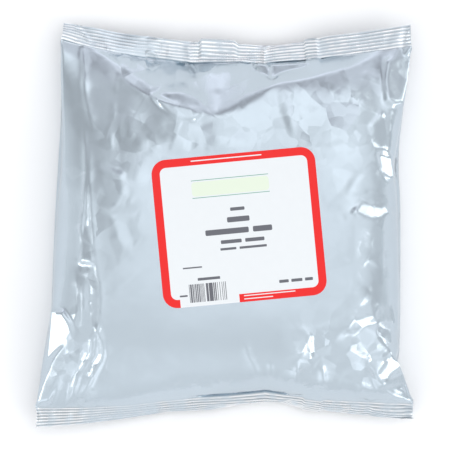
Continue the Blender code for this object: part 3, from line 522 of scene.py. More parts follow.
class Film:
    """The tube of film as a net of points: rows run up the bag and columns go round it."""

    def __init__(self, cut, across, rows):
        self.cut, self.across, self.rows, self.round = cut, across, rows, 2 * across
        self.cell_x, self.cell_y = cut.flat_width / across, cut.cut_length / rows
        self.seal = round(cut.end_seal / self.cell_y)
        column = np.arange(self.round)
        self.facing = -column % self.round
        self.column = np.where(column <= across, column, self.round - column)
        u, v = np.linspace(0, 1, across + 1), np.linspace(0, 1, rows + 1)
        tucked = self.tuck(u)
        self.top = rounded(along(TOP_EDGE, tucked)[0])
        self.bottom = rounded(along(BOTTOM_EDGE, u)[0])
        self.left = rounded(along(LEFT_FOLD, v)[0])
        self.right = rounded(along(RIGHT_FOLD, v)[0])
        self.u, self.v = u, v
        self.moved = 0.0

    def tuck(self, u):
        """Column places along the gathered top seal, as fractions, and the gathered cells."""
        place = (u - 0.5) * self.cut.flat_width / MM
        kept = np.ones_like(place)
        for at, taken, half in TUCKS:
            pinch = np.exp(-((place - at) / half) ** 2)
            kept -= taken * pinch / (pinch.sum() * self.cell_x / MM)
        kept = np.clip(kept, TIGHTEST_TUCK, 1)
        cells = 0.5 * (kept[1:] + kept[:-1])
        sealed_length = along(TOP_EDGE, [0])[1]
        cells *= sealed_length / (cells.sum() * self.cell_x)
        self.width = np.full((self.rows + 1, self.round), self.cell_x)
        self.width[self.rows - self.seal:] *= np.r_[cells, cells[::-1]]
        walked = np.r_[0, np.cumsum(cells)]
        return walked / walked[-1]

    def spread_flat(self):
        """A first lens shape between the four edges, with seeded unevenness."""
        a, v = self.u[self.column][None, :, None], self.v[:, None, None]
        bottom, top = self.bottom[self.column], self.top[self.column]
        corners = ((1 - a) * (1 - v) * self.bottom[0] + a * (1 - v) * self.bottom[-1]
                   + (1 - a) * v * self.top[0] + a * v * self.top[-1])
        self.points = np.zeros((self.rows + 1, self.round, 3))
        self.points[..., :2] = ((1 - v) * bottom + v * top + (1 - a) * self.left[:, None]
                                + a * self.right[:, None] - corners)
        ends = self.seal / self.rows
        inside = np.clip((v[..., 0] - ends) / (1 - 2 * ends), 0, 1)
        bulge = (np.sin(np.pi * a[..., 0]) * np.sin(np.pi * inside)) ** START_ROUNDNESS
        seals, up, down = START_HEIGHTS
        swing = np.where(np.arange(self.round) <= self.across, up, -down)
        rng = np.random.default_rng(UNEVEN_SEED)
        uneven = rng.normal(0, START_UNEVENNESS, bulge.shape)
        self.points[..., 2] = seals + swing * bulge + uneven

    def pull(self, a, b, length, firmness):
        """Moves two sets of points to their own distance apart, less firmly if too close.

        Film pushed together takes that up in folds finer than the net's cells.
        """
        apart = b - a
        now = np.sqrt((apart * apart).sum(-1))
        stretch = 1 - length / now
        firm = np.where(stretch < 0, self.fineness, 1)
        step = apart * (0.5 * firmness * stretch * firm)[..., None]
        a += step
        b -= step

    def keep_lengths(self):
        """The film hardly stretches along, across or aslant, and it resists sharp bends."""
        p, w, n, m = self.points, self.width, self.round, self.rows
        for first in (0, 1):
            here, there = np.arange(first, n, 2), np.arange(first + 1, n + first, 2) % n
            a, b = p[:, here], p[:, there]
            self.pull(a, b, w[:, here], 1.0)
            p[:, here], p[:, there] = a, b
        for first in (0, 1):
            last = first + 2 * ((m - first + 1) // 2)
            self.pull(p[first:last:2], p[first + 1:last:2], self.cell_y, 1.0)
            mean = 0.5 * (w[first:last:2] + w[first + 1:last:2])
            aslant = np.sqrt(mean ** 2 + self.cell_y ** 2)
            for turn in (-1, 1):
                b = np.roll(p[first + 1:last:2], turn, 1)
                self.pull(p[first:last:2], b, aslant, ASLANT_HOLD)
                p[first + 1:last:2] = np.roll(b, -turn, 1)
        for first in range(4):
            here = np.arange(first, n, 4)
            a, b = p[:, here], p[:, (here + 2) % n]
            self.pull(a, b, 2 * w[:, here], BEND_HOLD)
            p[:, here], p[:, (here + 2) % n] = a, b
            row = np.arange(first, m - 1, 4)
            a, b = p[row], p[row + 2]
            self.pull(a, b, 2 * self.cell_y, BEND_HOLD)
            p[row], p[row + 2] = a, b

    def outward(self):
        """Normals of the tube, as long as the stretch of film that each point stands for."""
        p = self.points
        across = np.roll(p, -1, 1) - np.roll(p, 1, 1)
        up = np.empty_like(p)
        up[1:-1] = p[2:] - p[:-2]
        up[0], up[-1] = 2 * (p[1] - p[0]), 2 * (p[-1] - p[-2])
        return np.cross(across, up) / (4 * self.cell_x * self.cell_y)

    def volume(self):
        p = self.points
        a, b, c, d = p[:-1], np.roll(p[:-1], -1, 1), np.roll(p[1:], -1, 1), p[1:]
        return sum((q * np.cross(r, s)).sum() / 6 for q, r, s in ((a, b, c), (a, c, d)))

    def hold(self):
        """Seals stay shut, edges stay near their outlines and nothing sinks into the table."""
        p, n, m, seal = self.points, self.across, self.rows, self.seal
        for shut in (slice(0, seal + 1), slice(m - seal, m + 1)):
            p[shut] = 0.5 * (p[shut] + p[shut][:, self.facing])
        p[0, :, :2] += SEAL_EDGE_HOLD * (self.bottom[self.column] - p[0, :, :2])
        p[m, :, :2] += SEAL_EDGE_HOLD * (self.top[self.column] - p[m, :, :2])
        p[:, 0, 0] += SIDE_FOLD_HOLD * (self.left[:, 0] - p[:, 0, 0])
        p[:, n, 0] += SIDE_FOLD_HOLD * (self.right[:, 0] - p[:, n, 0])
        np.maximum(p[..., 2], 0, out=p[..., 2])
        self.fold_shoulder()

    def fold_shoulder(self):
        """Between the shoulder line and the top seal the front falls away to the seal."""
        line, height = np.array(SHOULDER, float) * MM, self.cut.shoulder
        front = self.points[self.rows // 2:self.rows - self.seal, 1:self.across]
        edge = self.points[self.rows - self.seal, 1:self.across]
        start = np.interp(front[..., 0], line[:, 0], line[:, 1])
        run = np.maximum(edge[:, 1] - start, SHORTEST_FALL)
        slope = np.clip((height - edge[:, 2]) / run, *FALL_SLOPES)
        over = front[..., 2] - (height - slope * (front[..., 1] - start))
        pressed = (front[..., 1] > start) & (over > 0)
        front[..., 2] -= np.where(pressed, 0.5 * over, 0)

    def place_label(self):
        """How far each point is under the label, from 0 to 1."""
        width, height = self.cut.label[:2]
        x, y = label_axes(self.points[..., 0], self.points[..., 1], self.cut.label)
        inside = np.minimum(width / 2 - np.abs(x), height / 2 - np.abs(y))
        self.under_label = np.clip(0.5 + 0.5 * inside / LABEL_FADE, 0, 1)[..., None]
        self.under_label[:, self.across + 1:] = 0
        self.under_label[:, 0] = 0

    def stiffen_label(self):
        """Paper keeps an even curve."""
        p = self.points
        for _ in range(LABEL_ROUNDS):
            mean = 0.25 * (np.roll(p, 1, 1) + np.roll(p, -1, 1))
            mean[1:-1] += 0.25 * (p[2:] + p[:-2])
            p[1:-1, :, 2:] += (self.under_label * (mean - p)[..., 2:])[1:-1]

    def settle(self, steps, rounds, fineness):
        """Pods and air press the film out, more at the bottom, until the bag is full."""
        self.fineness, full = fineness, self.cut.volume
        self.place_label()
        for _ in range(steps):
            before = self.points.copy()
            room = (full - round(self.volume(), 9)) / full
            pressure = PRESSING * np.clip(FILL_GAIN * room, -1, 1)
            height, up_bag = self.points[..., 2:], self.points[..., 1:2]
            load = (1 + LOAD_AT_TABLE * (1 - height / FULL_HEIGHT)
                    - LOAD_AT_BOTTOM_SEAL * up_bag / (self.cut.cut_length / 2))
            self.points += MOMENTUM * self.moved + self.outward() * pressure * load
            self.points[..., 2] -= SINKING
            for _ in range(rounds):
                self.keep_lengths()
                self.hold()
            self.stiffen_label()
            self.moved = self.points - before

    def refined(self):
        """The same bag with twice as many rows and columns."""
        fine = Film(self.cut, 2 * self.across, 2 * self.rows)
        p = np.repeat(self.points, 2, 1)
        p[:, 1::2] = 0.5 * (self.points + np.roll(self.points, -1, 1))
        q = np.repeat(p, 2, 0)[:-1]
        q[1::2] = 0.5 * (p[:-1] + p[1:])
        q = 0.25 * np.roll(q, 1, 1) + 0.5 * q + 0.25 * np.roll(q, -1, 1)
        ease(q)
        fine.points = q
        return fine

    def at(self, columns, rows):
        """The film at places given in metres across the flat bag and up it."""
        i = np.asarray(columns) / self.cell_x % self.round
        j = np.clip(np.asarray(rows) / self.cell_y, 0, self.rows - 1e-9)
        i0, j0 = np.floor(i).astype(int), np.floor(j).astype(int)
        fi, fj = (i - i0)[..., None], (j - j0)[..., None]
        p, i1 = self.points, (i0 + 1) % self.round
        low = p[j0, i0] * (1 - fi) + p[j0, i1] * fi
        high = p[j0 + 1, i0] * (1 - fi) + p[j0 + 1, i1] * fi
        return low * (1 - fj) + high * fj


@functools.lru_cache(maxsize=2)
def settled_film(cut):
    """The filled bag's film, and how far its middle lies from the picture's."""
    coarse, middling, fine = SETTLING
    film = Film(cut, *FIRST_NET)
    film.spread_flat()
    film.settle(*coarse)
    film = film.refined()
    film.settle(*middling)
    middle = 0.5 * (film.points.min((0, 1)) + film.points.max((0, 1)))
    film = film.refined()
    film.settle(*fine)
    film = film.refined().refined()
    tip_bottom_seal(film)
    return film, middle * (1, 1, 0)


def tip_bottom_seal(film):
    """Lets the bottom seal hang down from its inner edge, under the bulge of the pods."""
    seal = round(film.cut.end_seal / film.cell_y)
    inner, outer = film.points[seal].copy(), film.points[0].copy()
    line = np.array(HANGING_SEAL, float) * MM
    drop_in, drop_out = np.zeros_like(inner), np.zeros_like(outer)
    drop_in[:, 1] = np.interp(inner[:, 0], line[:, 0], line[:, 1]) - inner[:, 1]
    reach = inner[:, 1] + drop_in[:, 1] - outer[:, 1]
    fall = np.sqrt(np.maximum(film.cut.end_seal ** 2 - reach ** 2, 0))
    drop_out[:, 2] = np.maximum(inner[:, 2] - fall, LOWEST_CUT) - outer[:, 2]
    for row in range(seal + 1):
        share = row / seal
        film.points[row] += share * drop_in + (1 - share) * drop_out
    rows = round(HANGING_REACH / film.cell_y)
    for row in range(seal + 1, seal + rows):
        film.points[row] += (1 - smooth((row - seal) / rows)) * drop_in


def plain(number):
    """A setting as it was typed, rid of its 32-bit rounding."""
    return round(number, 6)


def cut_of(scene):
    """The film's sizes as plain numbers."""
    film, label = scene.bag_film, scene.bag_label
    return Cut(plain(film.flat_width), plain(film.cut_length), plain(film.end_seal),
               round(film.litres / 1000, 8), plain(film.shoulder),
               tuple(plain(getattr(label, key))
                     for key in ("width", "height", "across", "along", "turn")))


def unit(vectors):
    return vectors / np.maximum(np.linalg.norm(vectors, axis=-1, keepdims=True), 1e-12)


def off_span(x, y, start, end):
    """How far places are from the span between two ends."""
    (x0, y0), (x1, y1) = start, end
    t = ((x - x0) * (x1 - x0) + (y - y0) * (y1 - y0)) / ((x1 - x0) ** 2 + (y1 - y0) ** 2)
    t = np.clip(t, 0, 1)
    return np.hypot(x - x0 - t * (x1 - x0), y - y0 - t * (y1 - y0))


def top_seal_row(past_seal):
    """The first row in the top seal, by how far past a seal's inner edge each row lies."""
    half = len(past_seal) // 2
    return half + np.argmax(past_seal[half:] <= 0)


class Relief:
    """Heights of the front, in millimetres, by place in the picture of the bag."""

    def __init__(self, front):
        self.x, self.y, self.height = (front[..., k] / MM for k in range(3))

    def hang_from_shoulder(self, past_seal):
        """A domed front up to the shoulder fold and film hanging straight beyond it."""
        fold = np.array(SHOULDER_FOLD, float)
        seal_row = top_seal_row(past_seal)
        x, y, z = self.x, self.y, self.height
        edge_y = np.interp(x, x[seal_row], y[seal_row])
        edge_z = np.interp(x, x[seal_row], z[seal_row])
        fold_y, fold_z = (np.mean([np.interp(x + by, fold[:, 0], fold[:, k])
                                   for by in np.linspace(-FOLD_BEND, FOLD_BEND, FOLD_SAMPLES)],
                                  0)
                          for k in (1, 2))
        fold_y = np.minimum(fold_y, edge_y - 1)
        foot_y = np.interp(x[seal_row // 2], *zip(*DOME_FOOT))
        foot = np.array([np.interp(foot_y[k], y[:seal_row, k], z[:seal_row, k])
                         for k in range(x.shape[1])])
        foot, foot_y = (np.interp(x, x[seal_row // 2], values) for values in (foot, foot_y))
        up, rise = y - foot_y, fold_y - foot_y
        sag = (foot - DOME_SLOPE * rise - fold_z) / rise ** 2
        dome = foot - DOME_SLOPE * up - sag * up ** 2
        hang = fold_z + (edge_z - fold_z) * (y - fold_y) / (edge_y - fold_y)
        bevel = fold_z - np.interp(x, *zip(*FOLD_BEVEL)) - BEVEL_SLOPE * (y - fold_y)
        sides = np.stack([hang, dome, bevel])
        shape = -FOLD_EASE * np.logaddexp.reduce(-sides / FOLD_EASE)
        (kept, left_fade), (right, right_fade) = HANG_LEFT, HANG_RIGHT
        left = (x - x[:, :1] - kept) / left_fade
        across = np.clip(np.minimum(left, (right - x) / right_fade), 0, 1)
        share = smooth(across) * smooth(np.clip(up / DOME_FADE, 0, 1))
        share *= (past_seal > 0)[:, None]
        self.height = z + share * (shape - z)

    def near(self, points, reach):
        """The net's points within a box round some points."""
        low, high = np.min(points, 0)[:2] - reach, np.max(points, 0)[:2] + reach
        return np.nonzero((self.x > low[0]) & (self.x < high[0])
                          & (self.y > low[1]) & (self.y < high[1]))

    def crease(self, height, left, right, line, straight=False):
        """A folded edge along a line, which falls off at its own rate on each side.

        Left and right are as seen on the way along the line. Its ends run out, and a height
        less than 0 makes a valley. Straight sides run down evenly and end.
        """
        line = np.array(line, float)
        here = self.near(line, CREASE_REACH * max(left, right))
        x, y = self.x[here], self.y[here]
        lengths = np.linalg.norm(np.diff(line, axis=0), axis=1)
        walked = np.r_[0, np.cumsum(lengths)]
        nearest, side, at = np.full(x.shape, 1e9), np.zeros(x.shape), np.zeros(x.shape)
        for k, span in enumerate(lengths):
            (x0, y0), (ux, uy) = line[k], (line[k + 1] - line[k]) / span
            t = np.clip((x - x0) * ux + (y - y0) * uy, 0, span)
            ox, oy = x - x0 - t * ux, y - y0 - t * uy
            off = np.hypot(ox, oy)
            closer = off < nearest
            nearest = np.where(closer, off, nearest)
            side = np.where(closer, ux * oy - uy * ox, side)
            at = np.where(closer, walked[k] + t, at)
        width = np.where(side > 0, left, right)
        off = np.hypot(nearest, EDGE_ROUND) - EDGE_ROUND
        ends = np.clip(np.minimum(at, walked[-1] - at) / (CREASE_ENDS * walked[-1]), 0, 1)
        fall = np.clip(1 - off / width, 0, 1) if straight else np.exp(-off / width)
        self.height[here] += height * fall * smooth(ends)

    def swell(self, height, long, wide, turn, place):
        """A rounded swelling, or a dent where its height is less than 0."""
        x, y = self.x - place[0], self.y - place[1]
        c, s = math.cos(math.radians(turn)), math.sin(math.radians(turn))
        a, b = (x * c + y * s) / long, (y * c - x * s) / wide
        self.height += height * np.exp(-a * a - b * b)

    def level(self, points):
        """Heights of the film at some places, by its nearest points."""
        return [self.height.flat[np.argmin((self.x - x) ** 2 + (self.y - y) ** 2)]
                for x, y in points]

    def facets(self, outline, lines):
        """Flat facets inside an outline, between lines of folded film.

        Each point is a place and how far it is raised over the film there, if at all.
        """
        points, edges = list(outline), []
        for line in lines:
            edges += [(len(points) + k, len(points) + k + 1) for k in range(len(line) - 1)]
            points += line
        made = delaunay_2d_cdt([Vector(point[:2]) for point in points], edges,
                               [list(range(len(outline)))], 1, 1e-3)
        places, triangles, sources = made[0], made[2], made[3]
        raised = [points[source[0]][2:] if source else () for source in sources]
        heights = self.level(places) + np.array([sum(up) for up in raised])
        here = self.near(np.array([point[:2] for point in outline]), 0)
        x, y, flat = self.x[here], self.y[here], self.height[here].copy()
        for triangle in triangles:
            (ax, ay), (bx, by), (cx, cy) = (places[k] for k in triangle)
            ha, hb, hc = (heights[k] for k in triangle)
            area = (bx - ax) * (cy - ay) - (by - ay) * (cx - ax)
            s = ((x - ax) * (cy - ay) - (y - ay) * (cx - ax)) / area
            t = ((y - ay) * (bx - ax) - (x - ax) * (by - ay)) / area
            inside = (s >= 0) & (t >= 0) & (s + t <= 1)
            flat = np.where(inside, ha + s * (hb - ha) + t * (hc - ha), flat)
        ends = np.array([point[:2] for point in outline], float)
        off = np.full(x.shape, 1e9)
        for start, end in zip(ends, np.roll(ends, -1, 0)):
            off = np.minimum(off, off_span(x, y, start, end))
        share = smooth(np.clip(off / FACET_FADE, 0, 1))
        self.height[here] += share * (flat - self.height[here])

    def plate(self, lean, lift, outline, edge=PLATE_EDGE):
        """A flat part of the film, leaning its own way round its middle."""
        ends = np.array(outline, float)
        here = self.near(ends, 0)
        x, y = self.x[here], self.y[here]
        inside, off = np.zeros(x.shape, bool), np.full(x.shape, 1e9)
        for (x0, y0), (x1, y1) in zip(ends, np.roll(ends, -1, 0)):
            crossed = (y0 > y) != (y1 > y)
            inside ^= crossed & (x < x0 + (x1 - x0) * (y - y0) / ((y1 - y0) or 1))
            off = np.minimum(off, off_span(x, y, (x0, y0), (x1, y1)))
        middle, (right, up) = ends.mean(0), lean
        flat = self.level([middle])[0] + lift + (x - middle[0]) * right + (y - middle[1]) * up
        share = smooth(np.clip(off / edge, 0, 1)) * inside
        self.height[here] += share * (flat - self.height[here])

    def eased(self):
        """The heights with sharp edges eased, as film bends round a small radius."""
        height = self.height.copy()
        ease(height)
        ease(height.T)
        return height


class Skin:
    """The film's outer skin: front and back sheets on one set of rows, and the fin between."""

    def __init__(self, film, settings):
        self.net = film
        self.film, self.slot = plain(settings.film), plain(settings.slot)
        self.width = plain(settings.flat_width)
        length, seal = plain(settings.cut_length), plain(settings.end_seal)
        ribs = round(seal / plain(settings.rib_pitch) * RIB_ROWS)
        ends = np.linspace(0, seal, ribs, endpoint=False)
        open_rows = np.linspace(seal, length - seal, CAVITY_ROWS)
        self.rows = np.r_[ends, open_rows, length - ends[::-1]]
        self.past_seal = np.minimum(self.rows, length - self.rows) - seal
        self.across = np.linspace(0, self.width, FRONT_COLUMNS + 1)
        self.root = self.width / 2 + plain(settings.fin_root)
        self.tip = self.root + plain(settings.fin_width)
        self.behind = self.columns_behind()
        columns, rows = np.meshgrid(self.across, self.rows)
        self.front = film.at(columns, rows)
        self.press_folds()
        columns, rows = np.meshgrid([place for place, _ in self.behind], self.rows)
        self.back = film.at(2 * self.width - columns, rows)
        self.front_way, self.back_way = self.outward()

    def press_folds(self):
        """Gives the front its sharp shoulder, creases and dents."""
        relief = Relief(self.front)
        relief.hang_from_shoulder(self.past_seal)
        for outline, lines in FACETS:
            relief.facets(outline, lines)
        for swelling in SWELLINGS:
            relief.swell(*swelling)
        for crease in CREASES:
            relief.crease(*crease)
        for plate in PLATES:
            relief.plate(*plate)
        width, height = self.net.cut.label[:2]
        x, y = label_axes(self.front[..., 0], self.front[..., 1], self.net.cut.label)
        beside = np.maximum(np.abs(x) - width / 2, np.abs(y) - height / 2)
        free = smooth(np.clip(beside / LABEL_HOLD, 0, 1)) * (self.past_seal > 0)[:, None]
        self.front[..., 2] += free * (relief.eased() * MM - self.front[..., 2])
        self.gather_top_seal()
        relief = Relief(self.front)
        for crease in SEAL_CREASES:
            relief.crease(*crease)
        near_seal = smooth(np.clip(1 - self.past_seal / SEAL_FADE, 0, 1))[:, None]
        self.front[..., 2] += near_seal * (relief.height * MM - self.front[..., 2])

    def gather_top_seal(self):
        """Lays the top seal's flap over its neighbours and draws its ribs down in pleats."""
        seal = self.front[top_seal_row(self.past_seal):]
        x, up = seal[..., 0] / MM, np.linspace(0, 1, len(seal))[:, None]
        left, right, sharp, soft = FLAP
        flap = smooth(np.clip(np.minimum((x - left) / sharp, (right - x) / soft), 0, 1))
        seal[..., 1] += FLAP_REACH * flap * up
        seal[..., 2] += FLAP_LIFT * flap * np.minimum(FLAP_STEEPNESS * up, 1)
        deep = PLEAT_ROOT + (1 - PLEAT_ROOT) * up
        for place, half, shift in PLEATS:
            seal[..., 1] += shift * MM * np.exp(-np.abs(x - place) / half) * deep

    def columns_behind(self):
        """From right to left behind: each column's place on the flat bag, and how far out."""
        right = np.linspace(self.width, self.tip, round((self.width - self.tip) / BACK_STEP) + 1)
        left = np.linspace(self.root, 0, round(self.root / BACK_STEP) + 1)
        fin = np.linspace(self.root, self.tip, FIN_STEPS + 1)
        self.stack = 2 * self.slot + 2 * self.film
        tracks = [(place, self.film) for place in right[1:-1]]
        tracks += [(place, self.film - self.stack) for place in fin[::-1]]
        self.flap = len(tracks)
        tracks += [(place, -self.slot - self.film) for place in fin]
        tracks += [(place, self.film) for place in fin[::-1]]
        tracks += [(place, self.film) for place in left[1:-1]]
        return tracks

    def outward(self):
        """Outward directions of the front and of the columns behind."""
        front = unit(np.cross(np.gradient(self.front, axis=1), np.gradient(self.front, axis=0)))
        columns, rows = np.meshgrid([place for place, _ in self.behind], self.rows)
        columns, step = 2 * self.width - columns, 1 * MM
        across = self.net.at(columns + step, rows) - self.net.at(columns - step, rows)
        up = self.net.at(columns, rows + step) - self.net.at(columns, rows - step)
        back = unit(np.cross(across, up))
        for side, near in ((0, -1), (-1, 0)):
            inner = 1 if side == 0 else -2
            away = unit(self.front[:, side] - self.front[:, inner])
            front[:, side] = unit(front[:, side] + back[:, near] + SIDE_TURN * away)
        return front, back

    def over_fin(self):
        """How far the front is lifted where it is sealed over the fin."""
        beside = np.maximum(self.root - self.across, self.across - self.tip)
        across = np.clip(1 - beside / FIN_FADE, 0, 1)
        along_bag = np.clip(1 - self.past_seal / FIN_FADE_UP, 0, 1)
        return self.stack * smooth(along_bag)[:, None] * smooth(across)[None, :]

    def mesh(self):
        """One closed mesh, and what each of its points knows about the crimp."""
        lift = self.film + self.over_fin()
        front = self.front + self.front_way * lift[..., None]
        out = np.array([far for _, far in self.behind])
        back = self.back + self.back_way * out[:, None]
        ring = np.concatenate([front, back], 1)
        rows, count = ring.shape[:2]
        number = np.arange(rows * count).reshape(rows, count)
        a, b = number[:-1], np.roll(number, -1, 1)[:-1]
        c, d = np.roll(number, -1, 1)[1:], number[1:]
        faces = np.stack([a, b, c, d], -1).reshape(-1, 4).tolist()
        for row, turned in ((0, True), (rows - 1, False)):
            for face in self.cap():
                face = tuple(number[row, list(face)])
                faces.append(face[::-1] if turned else face)
        mesh = bpy.data.meshes.new("film")
        mesh.from_pydata(ring.reshape(-1, 3).tolist(), [], faces)
        way = np.concatenate([self.front_way, -self.back_way], 1)
        sealed = smooth(np.clip(0.5 - self.past_seal / RIB_FADE, 0, 1))
        strength = np.interp(ring[..., 0] / MM, *zip(*RIB_STRENGTH))
        up_bag, crimped = np.repeat(self.rows, count), sealed[:, None] * strength
        crumpled = np.full(strength.shape, CRUMPLED_BACK)
        crumpled[:, :FRONT_COLUMNS + 1] = self.crumpled_front()
        for name, kind, key, values in (("up_bag", "FLOAT", "value", up_bag),
                                        ("crimped", "FLOAT", "value", crimped),
                                        ("crumpled", "FLOAT", "value", crumpled),
                                        ("press_way", "FLOAT_VECTOR", "vector", way)):
            data = mesh.attributes.new(name, kind, "POINT").data
            data.foreach_set(key, np.ascontiguousarray(values, np.float32).ravel())
        return mesh

    def crumpled_front(self):
        """How crumpled the front is from place to place."""
        crumpled = Relief(self.front)
        crumpled.height[:] = CRUMPLED_FRONT
        for spot in CRUMPLED:
            crumpled.swell(*spot)
        return np.clip(crumpled.height, 0, 1)

    def cap(self):
        """Faces across a cut end, seen with the front up, the fin's flap apart."""
        behind = FRONT_COLUMNS + 1
        place = np.r_[self.across, [at for at, _ in self.behind]]
        flap, low = behind + self.flap, behind + self.flap + FIN_STEPS + 1
        under = [0, *range(len(place) - 1, low + FIN_STEPS - 1, -1),
                 *range(flap, behind - 2, -1)]
        faces = zipped(range(behind), under, place)
        faces += zipped(range(flap, flap + FIN_STEPS + 1),
                        range(low + FIN_STEPS, low - 1, -1), place)
        return faces


def zipped(upper, lower, place):
    """Triangles between two lines of points that run the same way."""
    faces, i, j = [], 0, 0
    while i < len(upper) - 1 or j < len(lower) - 1:
        lower_next = j < len(lower) - 1 and (
            i == len(upper) - 1 or place[lower[j + 1]] < place[upper[i + 1]])
        if lower_next:
            face = (upper[i], lower[j], lower[j + 1])
            j += 1
        else:
            face = (upper[i], lower[j], upper[i + 1])
            i += 1
        if len(set(face)) == 3:
            faces.append(face)
    return faces


# The pods

def heap_mesh(film, middle, walls, room):
    """The even lump under the outermost pods, and where there is room for pods on it."""
    columns = np.arange(HEAP_COLUMNS) / HEAP_COLUMNS * 2 * film.cut.flat_width
    rows = np.linspace(HEAP_END, film.cut.cut_length - HEAP_END, HEAP_ROWS)
    points = film.at(*np.meshgrid(columns, rows)) - middle
    centre = 0.5 * (points.min((0, 1)) + points.max((0, 1)))
    points = (centre + (points - centre) * HEAP_SHARE).reshape(-1, 3)
    away = np.empty(len(points))
    for k, point in enumerate(points):
        for _ in range(HEAP_PRESSES):
            hit, _, _, away[k] = walls.find_nearest(Vector(point))
            if away[k] < room:
                point += unit(point - hit) * (room - away[k])
    n, m = HEAP_COLUMNS, HEAP_ROWS
    number = np.arange(n * m).reshape(m, n)
    a, b = number[:-1], np.roll(number, -1, 1)[:-1]
    faces = np.stack([a, b, b + n, a + n], -1).reshape(-1, 4).tolist()
    for k in range(n):
        j = (k + 1) % n
        faces += [(n * m, j, k), (n * m + 1, (m - 1) * n + k, (m - 1) * n + j)]
    ends = [points[:n].mean(0), points[-n:].mean(0)]
    mesh = bpy.data.meshes.new("pods")
    mesh.from_pydata([*points.tolist(), *ends], [], faces)
    roomy = mesh.attributes.new("roomy", "FLOAT", "POINT")
    enough = np.r_[away > ENOUGH_ROOM * room, 0, 0]
    roomy.data.foreach_set("value", enough.astype(np.float32))
    return mesh


def pod_mesh(length, radius):
    """A whole pod: a three-sided spindle, blunt at its stalk and drawn to a short beak."""
    rings, around = POD_RINGS, POD_SIDES
    points, faces = [], []
    for place, share in rings:
        for k in range(around):
            angle = math.tau * k / around
            edge = 1 + POD_EDGE * math.cos(3 * angle)
            reach = radius * share * edge / (1 + POD_EDGE)
            points.append((length * (place - 0.5), reach * math.cos(angle),
                           reach * math.sin(angle)))
    for j in range(len(rings) - 1):
        for k in range(around):
            a, b = j * around + k, j * around + (k + 1) % around
            faces.append((a, a + around, b + around, b))
    faces.append(tuple(range(around)))
    faces.append(tuple(range(len(points) - 1, len(points) - 1 - around, -1)))
    mesh = bpy.data.meshes.new("pod")
    mesh.from_pydata(points, [], faces)
    return mesh


# Node trees

def fill(tree, node, inputs):
    """Sets or links a node's inputs, by name or in order.

    Only the sockets that its settings leave open count. A node given as a value links from
    its first open output, and a colour comes without its opacity.
    """
    sockets = [socket for socket in node.inputs if socket.enabled]
    named = inputs if isinstance(inputs, dict) else dict(enumerate(inputs))
    for key, value in named.items():
        if isinstance(key, str):
            socket = next(socket for socket in sockets if socket.name == key)
        else:
            socket = sockets[key]
        if isinstance(value, bpy.types.Node):
            value = next(output for output in value.outputs if output.enabled)
        if isinstance(value, bpy.types.NodeSocket):
            tree.links.new(value, socket)
        else:
            socket.default_value = (*value, 1) if socket.type == "RGBA" else value


def add(tree, kind, inputs=(), **settings):
    """Adds a node with its settings and fills its inputs."""
    node = tree.nodes.new(kind)
    for key, value in settings.items():
        setattr(node, key, value)
    fill(tree, node, inputs)
    return node


def apply_tree(thing, tree, values):
    """Runs a node tree on an object and keeps the result as its plain mesh."""
    modifier = thing.modifiers.new(tree.name, "NODES")
    modifier.node_group = tree
    for item in tree.interface.items_tree:
        if item.in_out == "INPUT" and item.name in values:
            modifier[item.identifier] = values[item.name]
    bpy.context.view_layer.update()
    graph = bpy.context.evaluated_depsgraph_get()
    made = bpy.data.meshes.new_from_object(thing.evaluated_get(graph))
    thing.modifiers.remove(modifier)
    thing.data = made


def new_tree(name, inputs):
    """A node tree that takes geometry and the named sizes, and its two ends."""
    tree = bpy.data.node_groups.new(name, "GeometryNodeTree")
    tree.interface.new_socket("Geometry", in_out="INPUT", socket_type="NodeSocketGeometry")
    for label, kind in inputs:
        tree.interface.new_socket(label, in_out="INPUT", socket_type=kind)
    tree.interface.new_socket("Geometry", in_out="OUTPUT", socket_type="NodeSocketGeometry")
    return tree, tree.nodes.new("NodeGroupInput"), tree.nodes.new("NodeGroupOutput")


def crimp_tree():
    """Presses the ribs of the crimp into both layers of the end seals."""
    tree, start, end = new_tree("Crimp", (("Pitch", "NodeSocketFloat"),
                                          ("Height", "NodeSocketFloat"),
                                          ("Material", "NodeSocketMaterial")))
    up_bag, crimped, way = (
        add(tree, "GeometryNodeInputNamedAttribute", {"Name": name}, data_type=kind)
        for name, kind in (("up_bag", "FLOAT"), ("crimped", "FLOAT"),
                           ("press_way", "FLOAT_VECTOR")))
    ribs = add(tree, "ShaderNodeMath", (up_bag, start.outputs["Pitch"]), operation="DIVIDE")
    angle = add(tree, "ShaderNodeMath", (ribs, math.tau), operation="MULTIPLY")
    wave = add(tree, "ShaderNodeMath", (angle,), operation="COSINE")
    half = add(tree, "ShaderNodeMath", (start.outputs["Height"], 0.5), operation="MULTIPLY")
    rise = add(tree, "ShaderNodeMath", (wave, half), operation="MULTIPLY")
    pressed = add(tree, "ShaderNodeMath", (rise, crimped), operation="MULTIPLY")
    offset = add(tree, "ShaderNodeVectorMath", (way, pressed), operation="SCALE")
    moved = add(tree, "GeometryNodeSetPosition", {"Geometry": start.outputs["Geometry"],
                                                  "Offset": offset})
    real = add(tree, "GeometryNodeRealizeInstances", {"Geometry": moved})
    finished = add(tree, "GeometryNodeSetMaterial", {"Geometry": real,
                                                     "Material": start.outputs["Material"]})
    fill(tree, end, {"Geometry": finished})
    return tree


